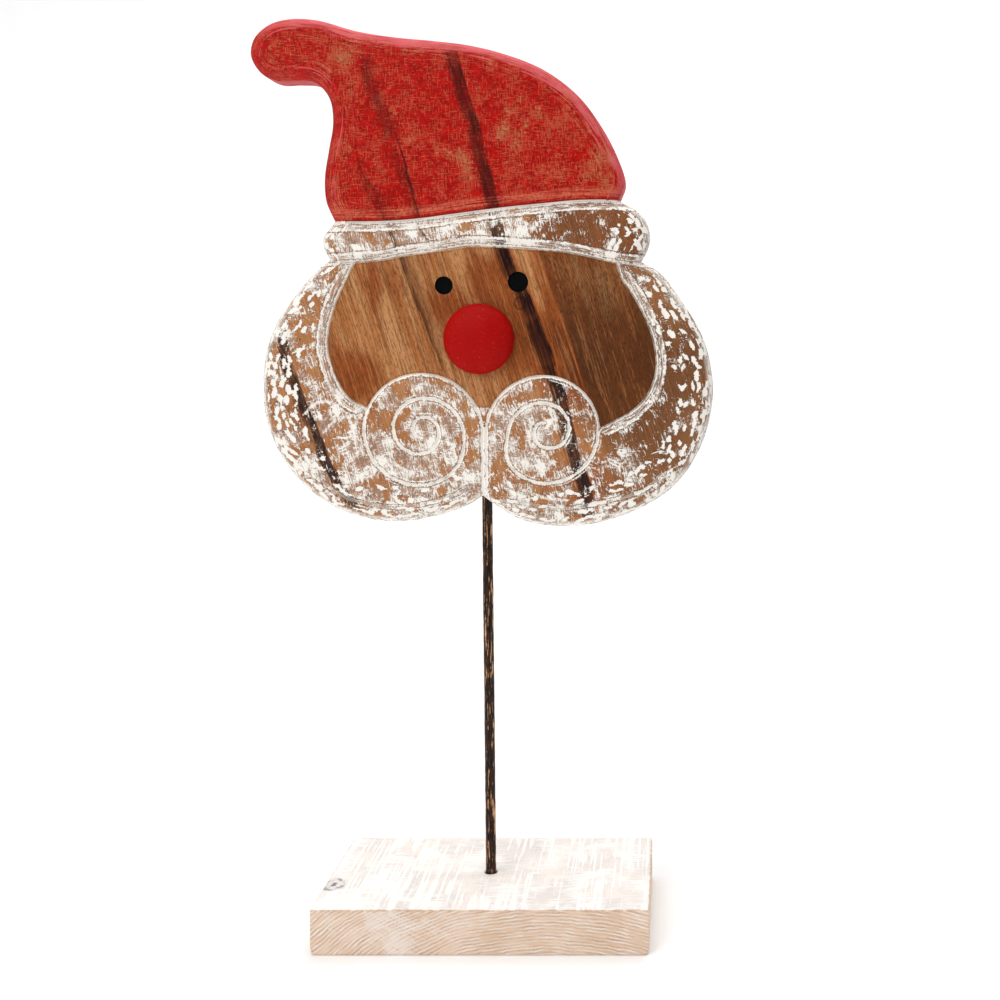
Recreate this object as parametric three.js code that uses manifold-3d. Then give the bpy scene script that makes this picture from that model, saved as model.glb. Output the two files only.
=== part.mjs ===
// Wooden Santa face on a stand: a carved board on a thin metal rod in a wooden base block.
// Units are millimetres. The origin is the centre of the base's underside, with X to the right
// as seen from the front, Y away from the viewer and Z up.

import * as THREE from 'three';
import { mergeVertices } from 'three/addons/utils/BufferGeometryUtils.js';
import Module from 'manifold-3d';

const wasm = await Module();
wasm.setup();

// The base block, and the rod that stands in it.
const base = { width: 144, depth: 80, height: 20, footRound: 3, topRound: 1, endRound: 0.8 };
const rod = { x: -0.5, radius: 2.5, foot: 5, top: 216, sides: 24 };
const gap = 0.3;

// The carved board: flat, with rounded front and back edges.
const board = { thickness: 20, edgeRound: 5, edgeSteps: 3 };
const front = board.thickness / 2;
const faceDepth = 1.2;

// Carved lines are V cuts, each with its own width to the right and left of the way it is cut.
const hatCut = { depth: 1.7, right: 3.4, left: 1.2 };
const brimCut = { depth: 2, right: 0.9, left: 3.4 };
const leftCheekCut = { depth: 2, right: 3.6, left: 0.9 };
const rightCheekCut = { depth: 2, right: 0.9, left: 3.6 };
const curlCut = { depth: 1.8, right: 1.3, left: 1.3 };
const cutLift = 0.6;

// Places on the board: x across, then height above the base's underside.
const hatLeft = [-64.5, 310.5];
const hatRight = [59, 319.5];
const beardTopLeft = [-67, 294];
const beardTopRight = [68, 293.5];
const chinNotch = [-1.5, 191];

const hatOutline = [
  hatLeft, [-68, 319], [-68.5, 329], [-66.5, 341], [-64.5, 353], [-66, 363], [-71.5, 369],
  [-80, 370], [-88.5, 370], [-95, 373.5], [-99, 380.5], [-97.5, 388], [-91, 394],
  [-82, 396.5], [-70, 396], [-53.5, 391.5], [-38, 389], [-21.5, 387.5], [-5, 385.5], [11, 381.5],
  [27, 375], [41, 364.5], [51, 351.5], [58, 338.5], [61.5, 327], hatRight,
];
const brimRightEnd = [hatRight, [65.5, 316], [70.5, 310.5], [72, 304.5], [71, 299], beardTopRight];
const beardRight = [
  beardTopRight, [76, 289], [85.5, 277], [93.5, 264], [98, 251], [99.5, 237], [97.5, 222.5],
  [91.5, 207.5], [83, 196], [69.5, 186.5], [50.5, 179.5], [33, 177.5], [16.5, 180], [6, 185.5],
  chinNotch,
];
const beardLeft = [
  chinNotch, [-9, 186.5], [-20.5, 182.5], [-34.5, 180], [-49.5, 180.5], [-65.5, 185.5],
  [-79, 195], [-89, 207.5], [-95.5, 223], [-97, 238.5], [-95, 256], [-89, 269.5], [-80.5, 281],
  [-73, 289.5], beardTopLeft,
];
const brimLeftEnd = [beardTopLeft, [-69.5, 299], [-69.5, 303.5], [-67, 307.5], hatLeft];

// The line between hat and brim, and the line between brim and face, from left to right.
const hatLine = [
  [-70, 310], [-44, 310], [-29, 311], [-13.5, 313], [5.5, 315.5], [25, 317.5], [42, 319], [64, 319],
];
const brimLine = [
  [-74, 292], [-56, 293], [-44, 294], [-33.5, 296], [-22.5, 297.5], [-13, 299], [-5, 300],
  [9.5, 299.5], [24.5, 298.5], [35.5, 297.5], [46, 295.5], [57.5, 293], [74, 291.5],
];

// The cheeks run down from the brim to the outside of the moustache curls.
const cheekLeft = [
  [-55.5, 293], [-58.5, 287.5], [-63, 278], [-66.5, 267.5], [-68, 257.5], [-66.5, 248.5],
  [-63, 240], [-58, 233.5], [-51.2, 230],
];
const cheekRight = [
  [57.5, 293], [60, 286], [65, 278.5], [70.5, 268], [74, 257], [74.5, 246], [71, 236],
  [64, 228.5], [56, 224], [49.4, 220.5],
];

// Each curl starts at the chin notch, climbs the middle of the moustache and winds inwards.
// Its radii are taken every quarter turn, as the knife went round by hand.
const quarterPoints = 8;
const curlLeft = {
  centre: [-27.5, 220.5],
  stem: [-0.9, 189],
  start: 0,
  turn: 1,
  radii: [26.6, 24.2, 24.8, 24, 18.2, 13.8, 12, 10.3, 7.7, 5.6, 3.5, 3.3],
};
const curlRight = {
  centre: [26, 220.5],
  stem: [0.7, 189],
  start: Math.PI,
  turn: -1,
  radii: [25.3, 23.3, 23.4, 23.2, 15.6, 11.8, 10.8, 7.5, 4.4, 3],
};

// Eyes are shallow drilled spots, and the nose is a turned button glued to the face.
const eyes = [
  { x: -17, height: 283, radius: 4.1, depth: 1 },
  { x: 15, height: 284.5, radius: 4.6, depth: 1 },
];
const eyeSides = 24;
const nose = { x: -2, height: 260, radius: 15.2, wall: 1.5, rise: 9, sides: 40, rings: 8 };

// A smooth curve through points of the board, cut into steps of about the given length.
function curveThrough(points) {
  const places = points.map(([x, y]) => new THREE.Vector3(x, y, 0));
  return new THREE.CatmullRomCurve3(places, false, 'centripetal');
}

function stepsAlong(curve, step) {
  return Math.max(2, Math.round(curve.getLength() / step));
}

function pointsThrough(points, step) {
  const curve = curveThrough(points);
  return curve.getSpacedPoints(stepsAlong(curve, step));
}

function curlPoints({ centre, start, turn, radii }) {
  const knots = radii.map((radius, quarter) => new THREE.Vector2(quarter, radius));
  const radiusCurve = new THREE.SplineCurve(knots);
  const steps = (radii.length - 1) * quarterPoints;
  const points = [];
  for (let i = 0; i <= steps; i += 1) {
    const radius = radiusCurve.getPoint(i / steps).y;
    const angle = start + turn * (i / quarterPoints) * (Math.PI / 2);
    points.push([centre[0] + radius * Math.cos(angle), centre[1] + radius * Math.sin(angle)]);
  }
  return points;
}

// Booleans work on closed meshes with shared vertices.
function toSolid(geometry) {
  const bare = geometry.index ? geometry.toNonIndexed() : geometry.clone();
  bare.deleteAttribute('normal');
  bare.deleteAttribute('uv');
  const merged = mergeVertices(bare, 1e-4);
  const mesh = new wasm.Mesh({
    numProp: 3,
    vertProperties: new Float32Array(merged.attributes.position.array),
    triVerts: new Uint32Array(merged.index.array),
  });
  return new wasm.Manifold(mesh);
}

function toGeometry(solid) {
  const mesh = solid.getMesh();
  const geometry = new THREE.BufferGeometry();
  geometry.setAttribute('position', new THREE.BufferAttribute(mesh.vertProperties, 3));
  geometry.setIndex(new THREE.BufferAttribute(mesh.triVerts, 1));
  geometry.computeVertexNormals();
  return geometry;
}

// A V cut that follows a line on the board's front. Along a flat path the section's first
// coordinate goes down into the board, and its second to the left of the cutting direction.
function vCut(curve, cut, step) {
  const spread = 1 + cutLift / cut.depth;
  const section = new THREE.Shape([
    new THREE.Vector2(-cutLift, -cut.right * spread),
    new THREE.Vector2(cut.depth, 0),
    new THREE.Vector2(-cutLift, cut.left * spread),
  ]);
  const geometry = new THREE.ExtrudeGeometry(section, {
    extrudePath: curve,
    steps: stepsAlong(curve, step),
  });
  return toSolid(geometry.translate(0, 0, front));
}

function disc(x, y, radius, bottom, top, sides) {
  const geometry = new THREE.CylinderGeometry(radius, radius, top - bottom, sides);
  return toSolid(geometry.rotateX(Math.PI / 2).translate(x, y, (top + bottom) / 2));
}

// The board is drawn in its own plane, front towards +Z, and turned upright at the end.
function boardBlank() {
  const rim = [
    ...pointsThrough(hatOutline, 5).slice(1),
    ...pointsThrough(brimRightEnd, 4).slice(1),
    ...pointsThrough(beardRight, 5).slice(1),
    ...pointsThrough(beardLeft, 5).slice(1),
    ...pointsThrough(brimLeftEnd, 4).slice(1),
  ];
  const shape = new THREE.Shape(rim.map(({ x, y }) => new THREE.Vector2(x, y)));
  const geometry = new THREE.ExtrudeGeometry(shape, {
    depth: board.thickness - 2 * board.edgeRound,
    bevelThickness: board.edgeRound,
    bevelSize: board.edgeRound,
    bevelOffset: -board.edgeRound,
    bevelSegments: board.edgeSteps,
  });
  return toSolid(geometry.translate(0, 0, board.edgeRound - front));
}

// The face lies lower than the brim, beard and curls, inside the lines that bound it.
function faceRecess(leftTurns, rightTurns) {
  const browSteps = pointsThrough(brimLine.slice(1, -1), 5);
  const overRight = rightTurns.slice(2, 2 * quarterPoints).reverse();
  const overLeft = leftTurns.slice(2, 2 * quarterPoints - 1);
  const bound = [
    ...browSteps,
    ...pointsThrough(cheekRight, 4).slice(1),
    ...overRight.map(([x, y]) => new THREE.Vector2(x, y)),
    ...overLeft.map(([x, y]) => new THREE.Vector2(x, y)),
    ...pointsThrough(cheekLeft, 4).slice(1).reverse(),
  ];
  const shape = new THREE.Shape(bound.map(({ x, y }) => new THREE.Vector2(x, y)));
  const geometry = new THREE.ExtrudeGeometry(shape, {
    depth: faceDepth + cutLift,
    bevelEnabled: false,
  });
  return toSolid(geometry.translate(0, 0, front - faceDepth));
}

function headGeometry() {
  const leftTurns = curlPoints(curlLeft);
  const rightTurns = curlPoints(curlRight);
  const rodHole = new THREE.CylinderGeometry(
    rod.radius + gap, rod.radius + gap, rod.top + gap - rod.foot, rod.sides,
  );
  const cutters = [
    faceRecess(leftTurns, rightTurns),
    vCut(curveThrough(hatLine), hatCut, 5),
    vCut(curveThrough(brimLine), brimCut, 5),
    vCut(curveThrough(cheekLeft), leftCheekCut, 4),
    vCut(curveThrough(cheekRight), rightCheekCut, 4),
    vCut(curveThrough([curlLeft.stem, ...leftTurns]), curlCut, 2.6),
    vCut(curveThrough([curlRight.stem, ...rightTurns]), curlCut, 2.6),
    ...eyes.map((eye) => {
      const bottom = front - faceDepth - eye.depth;
      return disc(eye.x, eye.height, eye.radius, bottom, front, eyeSides);
    }),
    toSolid(rodHole.translate(rod.x, (rod.top + gap + rod.foot) / 2, 0)),
  ];
  const carved = cutters.reduce((solid, cutter) => solid.subtract(cutter), boardBlank());
  return toGeometry(carved).rotateX(Math.PI / 2);
}

// The nose's outline climbs a short wall and closes over in a dome.
function noseGeometry() {
  const dome = nose.rise - nose.wall;
  const profile = [new THREE.Vector2(0, 0), new THREE.Vector2(nose.radius, 0)];
  for (let i = 0; i < nose.rings; i += 1) {
    const angle = (i / nose.rings) * (Math.PI / 2);
    const height = nose.wall + dome * Math.sin(angle);
    profile.push(new THREE.Vector2(nose.radius * Math.cos(angle), height));
  }
  profile.push(new THREE.Vector2(0, nose.rise));
  return new THREE.LatheGeometry(profile, nose.sides);
}

// A rectangle with its own corner radius at the foot and at the top.
function baseSection() {
  const half = base.width / 2;
  const foot = base.footRound;
  const top = base.topRound;
  const section = new THREE.Shape();
  section.moveTo(-half + foot, 0);
  section.lineTo(half - foot, 0);
  section.absarc(half - foot, foot, foot, -Math.PI / 2, 0, false);
  section.absarc(half - top, base.height - top, top, 0, Math.PI / 2, false);
  section.absarc(-half + top, base.height - top, top, Math.PI / 2, Math.PI, false);
  section.absarc(-half + foot, foot, foot, Math.PI, 1.5 * Math.PI, false);
  return section;
}

function baseGeometry() {
  const block = new THREE.ExtrudeGeometry(baseSection(), {
    depth: base.depth - 2 * base.endRound,
    bevelThickness: base.endRound,
    bevelSize: base.endRound,
    bevelOffset: -base.endRound,
    bevelSegments: 2,
    curveSegments: 6,
  });
  block.rotateX(Math.PI / 2).translate(0, base.depth / 2 - base.endRound, 0);
  const bottom = rod.foot - gap;
  const hole = new THREE.CylinderGeometry(
    rod.radius + gap, rod.radius + gap, base.height + 1 - bottom, rod.sides,
  );
  hole.rotateX(Math.PI / 2).translate(rod.x, 0, (base.height + 1 + bottom) / 2);
  return toGeometry(toSolid(block).subtract(toSolid(hole)));
}

function rodGeometry() {
  const bar = new THREE.CylinderGeometry(rod.radius, rod.radius, rod.top - rod.foot, rod.sides);
  return bar.rotateX(Math.PI / 2);
}

function piece(name, geometry, colour, roughness, metalness) {
  const material = new THREE.MeshStandardMaterial({ color: colour, roughness, metalness });
  const mesh = new THREE.Mesh(geometry, material);
  mesh.name = name;
  return mesh;
}

const santa = new THREE.Group();

const baseBlock = piece('base', baseGeometry(), 0xe9dccb, 0.75, 0);
santa.add(baseBlock);

const standRod = piece('rod', rodGeometry(), 0x3a2a20, 0.45, 0.9);
standRod.position.set(rod.x, 0, (rod.top + rod.foot) / 2);
santa.add(standRod);

const head = piece('head', headGeometry(), 0xb08258, 0.6, 0);
santa.add(head);

const noseButton = piece('nose', noseGeometry(), 0xb4140f, 0.6, 0);
noseButton.rotation.x = Math.PI;
noseButton.position.set(nose.x, -(front - faceDepth) - gap, nose.height);
santa.add(noseButton);

export default santa;
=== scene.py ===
# %% [markdown]
# # A carved Santa face on a stand
# The real thing is one sawn and carved board on a thin metal rod in a wooden block. The solids
# come from the imported model, and this script gives them their looks: a fine carved relief with
# the marks of the gouge, thin worn paint over streaky wood, and the studio around them.
# The first step loads the frame, keeps its box to print beside the new one at the end, and
# clears the selection, because an operator acts on everything that is selected.

# %% The imported frame
import math
from functools import partial, reduce

import bmesh
import bpy
import numpy as np
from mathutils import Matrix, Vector
from mathutils.geometry import delaunay_2d_cdt
from mathutils.kdtree import KDTree


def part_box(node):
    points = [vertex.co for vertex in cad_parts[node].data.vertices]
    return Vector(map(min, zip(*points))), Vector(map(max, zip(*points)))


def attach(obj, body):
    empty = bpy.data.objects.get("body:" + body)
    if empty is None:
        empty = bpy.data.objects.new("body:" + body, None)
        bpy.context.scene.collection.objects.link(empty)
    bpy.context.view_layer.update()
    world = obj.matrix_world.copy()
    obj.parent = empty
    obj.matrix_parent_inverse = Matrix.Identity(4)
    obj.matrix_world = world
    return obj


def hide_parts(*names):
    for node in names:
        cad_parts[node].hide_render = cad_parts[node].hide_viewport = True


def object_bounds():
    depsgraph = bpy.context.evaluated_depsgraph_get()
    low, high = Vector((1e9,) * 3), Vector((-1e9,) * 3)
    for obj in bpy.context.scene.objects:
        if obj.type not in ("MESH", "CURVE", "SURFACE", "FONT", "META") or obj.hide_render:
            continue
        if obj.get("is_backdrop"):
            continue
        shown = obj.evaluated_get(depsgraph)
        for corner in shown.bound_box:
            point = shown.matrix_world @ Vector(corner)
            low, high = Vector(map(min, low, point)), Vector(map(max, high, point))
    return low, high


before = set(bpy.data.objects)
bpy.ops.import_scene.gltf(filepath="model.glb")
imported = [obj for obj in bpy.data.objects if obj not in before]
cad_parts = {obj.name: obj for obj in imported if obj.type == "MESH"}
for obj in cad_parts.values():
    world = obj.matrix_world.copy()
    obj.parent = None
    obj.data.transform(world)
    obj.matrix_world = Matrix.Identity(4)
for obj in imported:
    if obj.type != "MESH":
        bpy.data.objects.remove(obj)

cad_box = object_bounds()
bpy.ops.object.select_all(action="DESELECT")
print("nodes:", ", ".join(sorted(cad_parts)))

# %% [markdown]
# ## Sizes
# Blender works in metres, but a carver thinks in millimetres, so the lines below are in
# millimetres and are turned into metres when a mesh is made. What the frame knows is read from
# it, so nothing here can drift away from the solids.

# %% Sizes read from the frame
MM = 0.001


def box_in_mm(node):
    """The two corners of a solid's box."""
    low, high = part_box(node)
    return np.array(low) / MM, np.array(high) / MM


board_low, board_high = box_in_mm("head")
BOARD_HALF = (board_high[1] - board_low[1]) / 2
ROD_LOW, ROD_HIGH = box_in_mm("rod")
ROD_X = (ROD_LOW[0] + ROD_HIGH[0]) / 2
ROD_RADIUS = (ROD_HIGH[0] - ROD_LOW[0]) / 2
BASE_LOW, BASE_HIGH = box_in_mm("base")
NOSE_LOW, NOSE_HIGH = box_in_mm("nose")
print(f"board {2 * BOARD_HALF:.1f} mm thick, rod {2 * ROD_RADIUS:.1f} mm thick at x {ROD_X:.1f} mm")

# %% [markdown]
# ## The lines of the carving
# A carver first draws the outline and the cuts on the board. Each line is a few places joined by
# a smooth curve, the same centripetal Catmull-Rom curve that the solids are made with. Places are
# millimetres across and millimetres above the table.

# %% Smooth lines through a few places
SPAN_STEPS = 24


def respaced(points, step):
    """The same line with its points evenly spread, about one step apart."""
    run = np.concatenate([[0], np.cumsum(np.linalg.norm(np.diff(points, axis=0), axis=1))])
    places = np.linspace(0, run[-1], max(2, round(run[-1] / step)) + 1)
    return np.stack([np.interp(places, run, points[:, axis]) for axis in (0, 1)], axis=1)


def smooth_line(points, step):
    """A smooth line through the points, cut into steps."""
    knots = [np.array(point, float) for point in points]
    knots = [2 * knots[0] - knots[1]] + knots + [2 * knots[-1] - knots[-2]]
    fine = [knots[1]]
    for a, b, c, d in zip(knots, knots[1:], knots[2:], knots[3:]):
        ab, bc, cd = (np.linalg.norm(q - p) ** 0.5 for p, q in ((a, b), (b, c), (c, d)))
        leave = ((b - a) / ab - (c - a) / (ab + bc) + (c - b) / bc) * bc
        arrive = ((c - b) / bc - (d - b) / (bc + cd) + (d - c) / cd) * bc
        for t in np.linspace(0, 1, SPAN_STEPS + 1)[1:]:
            ease = 3 * t**2 - 2 * t**3
            pull = (t**3 - 2 * t**2 + t) * leave + (t**3 - t**2) * arrive
            fine.append(b * (1 - ease) + c * ease + pull)
    return respaced(np.array(fine), step)


def curl_line(centre, start, turn, radii):
    """A hand-cut spiral: its radius is given every quarter turn."""
    quarters = np.arange(0, len(radii) - 1 + 1e-6, 1 / 16)
    knots = smooth_line(list(enumerate(radii)), 0.02)
    radius = np.interp(quarters, knots[:, 0], knots[:, 1])
    angle = start + turn * quarters * math.pi / 2
    return np.array(centre) + radius[:, None] * np.stack([np.cos(angle), np.sin(angle)], axis=1)


print("a line of 10 mm in steps of 1 mm:", len(smooth_line([(0, 0), (4, 1), (10, 0)], 1.0)), "places")

# %% The outline and the cuts
HAT_LEFT = (-64.5, 310.5)
HAT_RIGHT = (59, 319.5)
BEARD_TOP_LEFT = (-67, 294)
BEARD_TOP_RIGHT = (68, 293.5)
CHIN = (-1.5, 191)

OUTLINE_PARTS = {
    "hat": [
        HAT_LEFT, (-68, 319), (-68.5, 329), (-66.5, 341), (-64.5, 353), (-66, 363), (-71.5, 369),
        (-80, 370), (-88.5, 370), (-95, 373.5), (-99, 380.5), (-97.5, 388), (-91, 394),
        (-82, 396.5), (-70, 396), (-53.5, 391.5), (-38, 389), (-21.5, 387.5), (-5, 385.5),
        (11, 381.5), (27, 375), (41, 364.5), (51, 351.5), (58, 338.5), (61.5, 327), HAT_RIGHT,
    ],
    "brim_right": [HAT_RIGHT, (65.5, 316), (70.5, 310.5), (72, 304.5), (71, 299), BEARD_TOP_RIGHT],
    "beard_right": [
        BEARD_TOP_RIGHT, (76, 289), (85.5, 277), (93.5, 264), (98, 251), (99.5, 237),
        (97.5, 222.5), (91.5, 207.5), (83, 196), (69.5, 186.5), (50.5, 179.5), (33, 177.5),
        (16.5, 180), (6, 185.5), CHIN,
    ],
    "beard_left": [
        CHIN, (-9, 186.5), (-20.5, 182.5), (-34.5, 180), (-49.5, 180.5), (-65.5, 185.5),
        (-79, 195), (-89, 207.5), (-95.5, 223), (-97, 238.5), (-95, 256), (-89, 269.5),
        (-80.5, 281), (-73, 289.5), BEARD_TOP_LEFT,
    ],
    "brim_left": [BEARD_TOP_LEFT, (-69.5, 299), (-69.5, 303.5), (-67, 307.5), HAT_LEFT],
}
HAT_LINE = [
    (-70, 310), (-44, 310), (-29, 311), (-13.5, 313), (5.5, 315.5), (25, 317.5), (42, 319), (64, 319),
]
BRIM_LINE = [
    (-74, 292), (-56, 293), (-44, 294), (-33.5, 296), (-22.5, 297.5), (-13, 299), (-5, 300),
    (9.5, 299.5), (24.5, 298.5), (35.5, 297.5), (46, 295.5), (57.5, 293), (74, 291.5),
]
CHEEK_LEFT = [
    (-55.5, 293), (-58.5, 287.5), (-63, 278), (-66.5, 267.5), (-68, 257.5), (-66.5, 248.5),
    (-63, 240), (-58, 233.5), (-51.2, 230),
]
CHEEK_RIGHT = [
    (57.5, 293), (60, 286), (65, 278.5), (70.5, 268), (74, 257), (74.5, 246), (71, 236),
    (64, 228.5), (56, 224), (49.4, 220.5),
]
LEFT_CURL = curl_line(
    (-27.5, 220.5), 0, 1, [26.6, 24.2, 24.8, 24, 18.2, 13.8, 12, 10.3, 7.7, 5.6, 3.5, 3.3]
)
RIGHT_CURL = curl_line(
    (26, 220.5), math.pi, -1, [25.3, 23.3, 23.4, 23.2, 15.6, 11.8, 10.8, 7.5, 4.4, 3]
)
LEFT_STEM = (-0.9, 189)
RIGHT_STEM = (0.7, 189)
# Shallow lines that run along inside the lower edge of the beard.
RIM_LEFT = [
    (-72.5, 199.5), (-66.5, 194.5), (-59, 190.5), (-49, 188), (-38, 187), (-26, 188.5),
    (-15.5, 191.5), (-6.5, 196),
]
RIM_RIGHT = [
    (6.5, 190), (18.5, 188.5), (29.5, 186.5), (40.5, 187), (50.5, 189), (61, 191.5),
    (69.5, 194.5), (77, 201.5),
]
EYES = {"left": (-17, 283, 3.9), "right": (15, 284.5, 4.4)}
print("outline parts:", ", ".join(OUTLINE_PARTS))

# %% [markdown]
# ## Measuring from a line
# Nearly everything on this board follows a line: a cut gets shallower away from its middle, the
# edge is rounded by its distance from the outline, and paint is rubbed off along edges. So one
# helper measures, for many places at once, how far each lies from a line, on which side, and how
# far along.

# %% Distance, side and run along a line


def nearest_on(line, places):
    """The line's point that lies nearest to each place."""
    tree = KDTree(len(line))
    for index, (x, z) in enumerate(line):
        tree.insert((x, z, 0), index)
    tree.balance()
    return np.array([tree.find((x, z, 0))[1] for x, z in places])


def measure(line, places):
    """Signed distance from the line (positive on its left) and the run along it."""
    start = line[:-1]
    along = line[1:] - start
    length = np.linalg.norm(along, axis=1)
    run_at = np.concatenate([[0], np.cumsum(length)[:-1]])
    last = len(start) - 1
    nearest = nearest_on(line, places)
    closed = np.allclose(line[0], line[-1])
    signed = np.full(len(places), np.inf)
    run = np.zeros(len(places))
    before = np.where(nearest == 0, last if closed else 0, nearest - 1)
    after = np.where(nearest > last, 0 if closed else last, nearest)
    for piece in (before, after):
        gap = places - start[piece]
        part = np.clip((gap * along[piece]).sum(axis=1) / length[piece] ** 2, 0, 1)
        away = gap - part[:, None] * along[piece]
        distance = np.hypot(away[:, 0], away[:, 1])
        side = along[piece, 0] * away[:, 1] - along[piece, 1] * away[:, 0]
        better = distance < np.abs(signed)
        signed = np.where(better, np.where(side < 0, -distance, distance), signed)
        run = np.where(better, run_at[piece] + part * length[piece], run)
    return signed, run


beside_line, run_there = measure(np.array([[0.0, 0.0], [10.0, 0.0]]), np.array([[4.0, 5.0]]))
print("a place lies", beside_line[0], "mm left of a line,", run_there[0], "mm along it")

# %% Places inside a loop, and waves


def inside(loop, places):
    """Whether each place lies inside a closed loop, by counting the edges to its right."""
    hit = np.zeros(len(places), bool)
    x, z = places.T
    for (ax, az), (bx, bz) in zip(loop, np.roll(loop, -1, axis=0)):
        if az != bz:
            hit ^= ((az > z) != (bz > z)) & (x < ax + (z - az) * (bx - ax) / (bz - az))
    return hit


def waves(seed, count, shortest, longest):
    """Smooth unevenness of a hand-made surface: waves of seeded lengths and directions."""
    draw = np.random.default_rng(seed)
    lengths = draw.uniform(shortest, longest, count)
    angles = draw.uniform(0, 2 * math.pi, count)
    shifts = draw.uniform(0, 2 * math.pi, count)

    def height(x, z):
        total = 0
        for length, angle, shift in zip(lengths, angles, shifts):
            along = x * math.cos(angle) + z * math.sin(angle)
            total = total + np.sin(2 * math.pi * along / length + shift)
        return total / math.sqrt(count)

    return height


square = np.array([[0, 0], [2, 0], [2, 2], [0, 2]])
print("in a square, and beside it:", inside(square, np.array([[1, 1], [3, 1]])).tolist())

# %% [markdown]
# ## The sawn edge
# The outline is walked once round. At every step a column of the edge is laid from the front
# face over the rounded corner, down the sawn side and round to the back. At the notches between
# hat, brim and beard the edge turns sharply, so columns fan out there like the leaves of a book.
# This could be a Bevel modifier on an extruded outline, but a bevel folds over itself in the
# notches, and the gouge marks need to know how far along and how far round the edge they are.

# %% Columns of the rounded edge
EDGE_ROUND = 5.0
ARRIS = math.radians(24)
EDGE_STEP = 1.0
SHRINK = 0.2
FAN_ANGLE = math.radians(14)
FRONT_STEPS, SIDE_STEPS, BACK_STEPS = 11, 6, 4


def walk_round(parts):
    """Places round the outline, the way into the wood at each, and the run."""
    places, ways = [], []
    for points in parts.values():
        line = smooth_line(points, EDGE_STEP)
        tangent = np.gradient(line, axis=0)
        tangent /= np.linalg.norm(tangent, axis=1)[:, None]
        into = np.stack([tangent[:, 1], -tangent[:, 0]], axis=1)
        if ways:
            add_fan(places, ways, into[0])
        places.extend(line)
        ways.extend(into)
    add_fan(places, ways, ways[0])
    return np.array(places), np.array(ways)


def add_fan(places, ways, way_after):
    """Columns on one place whose ways turn from the last one to the next."""
    before = math.atan2(ways[-1][1], ways[-1][0])
    turn = (math.atan2(way_after[1], way_after[0]) - before + math.pi) % (2 * math.pi) - math.pi
    leaves = max(1, round(abs(turn) / FAN_ANGLE))
    for leaf in range(1, leaves):
        angle = before + turn * leaf / leaves
        places.append(places[-1])
        ways.append((math.cos(angle), math.sin(angle)))


edge_places, edge_ways = walk_round(OUTLINE_PARTS)
edge_places = edge_places + SHRINK * edge_ways
edge_loop = np.vstack([edge_places, edge_places[:1]])
step_lengths = np.linalg.norm(np.diff(edge_loop, axis=0), axis=1)
edge_loop = edge_loop[np.concatenate([[True], step_lengths > 1e-6])]
ring = edge_places + EDGE_ROUND * edge_ways
print(len(edge_places), "columns round the board")

# %% [markdown]
# ## The cuts and the gouge marks
# Each carved line is a V whose two sides may differ: along the brim and the cheeks the outer
# side is wide and shallow and the inner side steep. Its depth and width wander a little, because
# a hand pushed the knife. The rim of brim and beard is covered with short scoops of a gouge,
# in rows that thin out inwards, and each scoop holds white paint. On the real board they were
# struck one by one; here a seeded draw places them, so that every run gives the same marks.

# %% V cuts
FACE_DEPTH = 1.2
CUT_STEP = 1.0
CREASE_HALF = 0.45


def cut(points, depth, right, left, seed, crease=0.0):
    """A V cut: its bottom line, depth, widths to both sides, and a crease along its wide side."""
    return {
        "line": respaced(np.array(points, float), CUT_STEP),
        "depth": depth, "right": right, "left": left,
        "wander": waves(seed, 5, 7, 45), "crease": crease,
    }


CUTS = {
    "hat": cut(smooth_line(HAT_LINE, 0.5), 1.7, 3.4, 1.2, 1, crease=0.35),
    "brim": cut(smooth_line(BRIM_LINE, 0.5), 2.0, 0.9, 3.4, 2, crease=0.35),
    "cheek_left": cut(smooth_line(CHEEK_LEFT, 0.5), 2.0, 3.6, 0.9, 3, crease=0.35),
    "cheek_right": cut(smooth_line(CHEEK_RIGHT, 0.5), 2.0, 0.9, 3.6, 4, crease=0.35),
    "curl_left": cut(np.vstack([[LEFT_STEM], LEFT_CURL]), 0.9, 1.1, 1.1, 5),
    "curl_right": cut(np.vstack([[RIGHT_STEM], RIGHT_CURL]), 0.9, 1.1, 1.1, 6),
    "rim_left": cut(smooth_line(RIM_LEFT, 0.5), 0.6, 0.9, 0.9, 7),
    "rim_right": cut(smooth_line(RIM_RIGHT, 0.5), 0.6, 0.9, 0.9, 8),
}


def v_depth(shape, places):
    """One cut at each place: its depth, its share of the depth, its signed distance and its run."""
    signed, run = measure(shape["line"], places)
    hand = shape["wander"](run, 0 * run)
    width = np.where(signed > 0, shape["left"], shape["right"]) * (1 + 0.1 * hand)
    share = np.clip(1 - np.abs(signed) / width, 0, 1)
    depth = shape["depth"] * (1 + 0.08 * hand) * share
    wide = max(shape["left"], shape["right"])
    off = np.abs(np.abs(signed) - wide * (1 + 0.1 * hand))
    on_wide = (signed > 0) == (shape["left"] > shape["right"])
    near = np.where(on_wide & (shape["crease"] > 0), np.clip(1 - off / CREASE_HALF, 0, 1), 0)
    return np.maximum(depth, shape["crease"] * near), share, signed, run


print(len(CUTS), "cuts")

# %% The lowered face
# The face lies lower inside the lines that bound it. A curl has this many places every quarter turn.
CURL_QUARTER = 16
brow = CUTS["brim"]["line"]
brow = brow[(brow[:, 0] > CHEEK_LEFT[0][0]) & (brow[:, 0] < CHEEK_RIGHT[0][0])]
FACE_LOOP = np.vstack([
    brow,
    CUTS["cheek_right"]["line"],
    RIGHT_CURL[4:2 * CURL_QUARTER][::-1],
    LEFT_CURL[4:2 * CURL_QUARTER - 3],
    CUTS["cheek_left"]["line"][::-1],
])
print("the face is bounded by", len(FACE_LOOP), "places")

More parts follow.
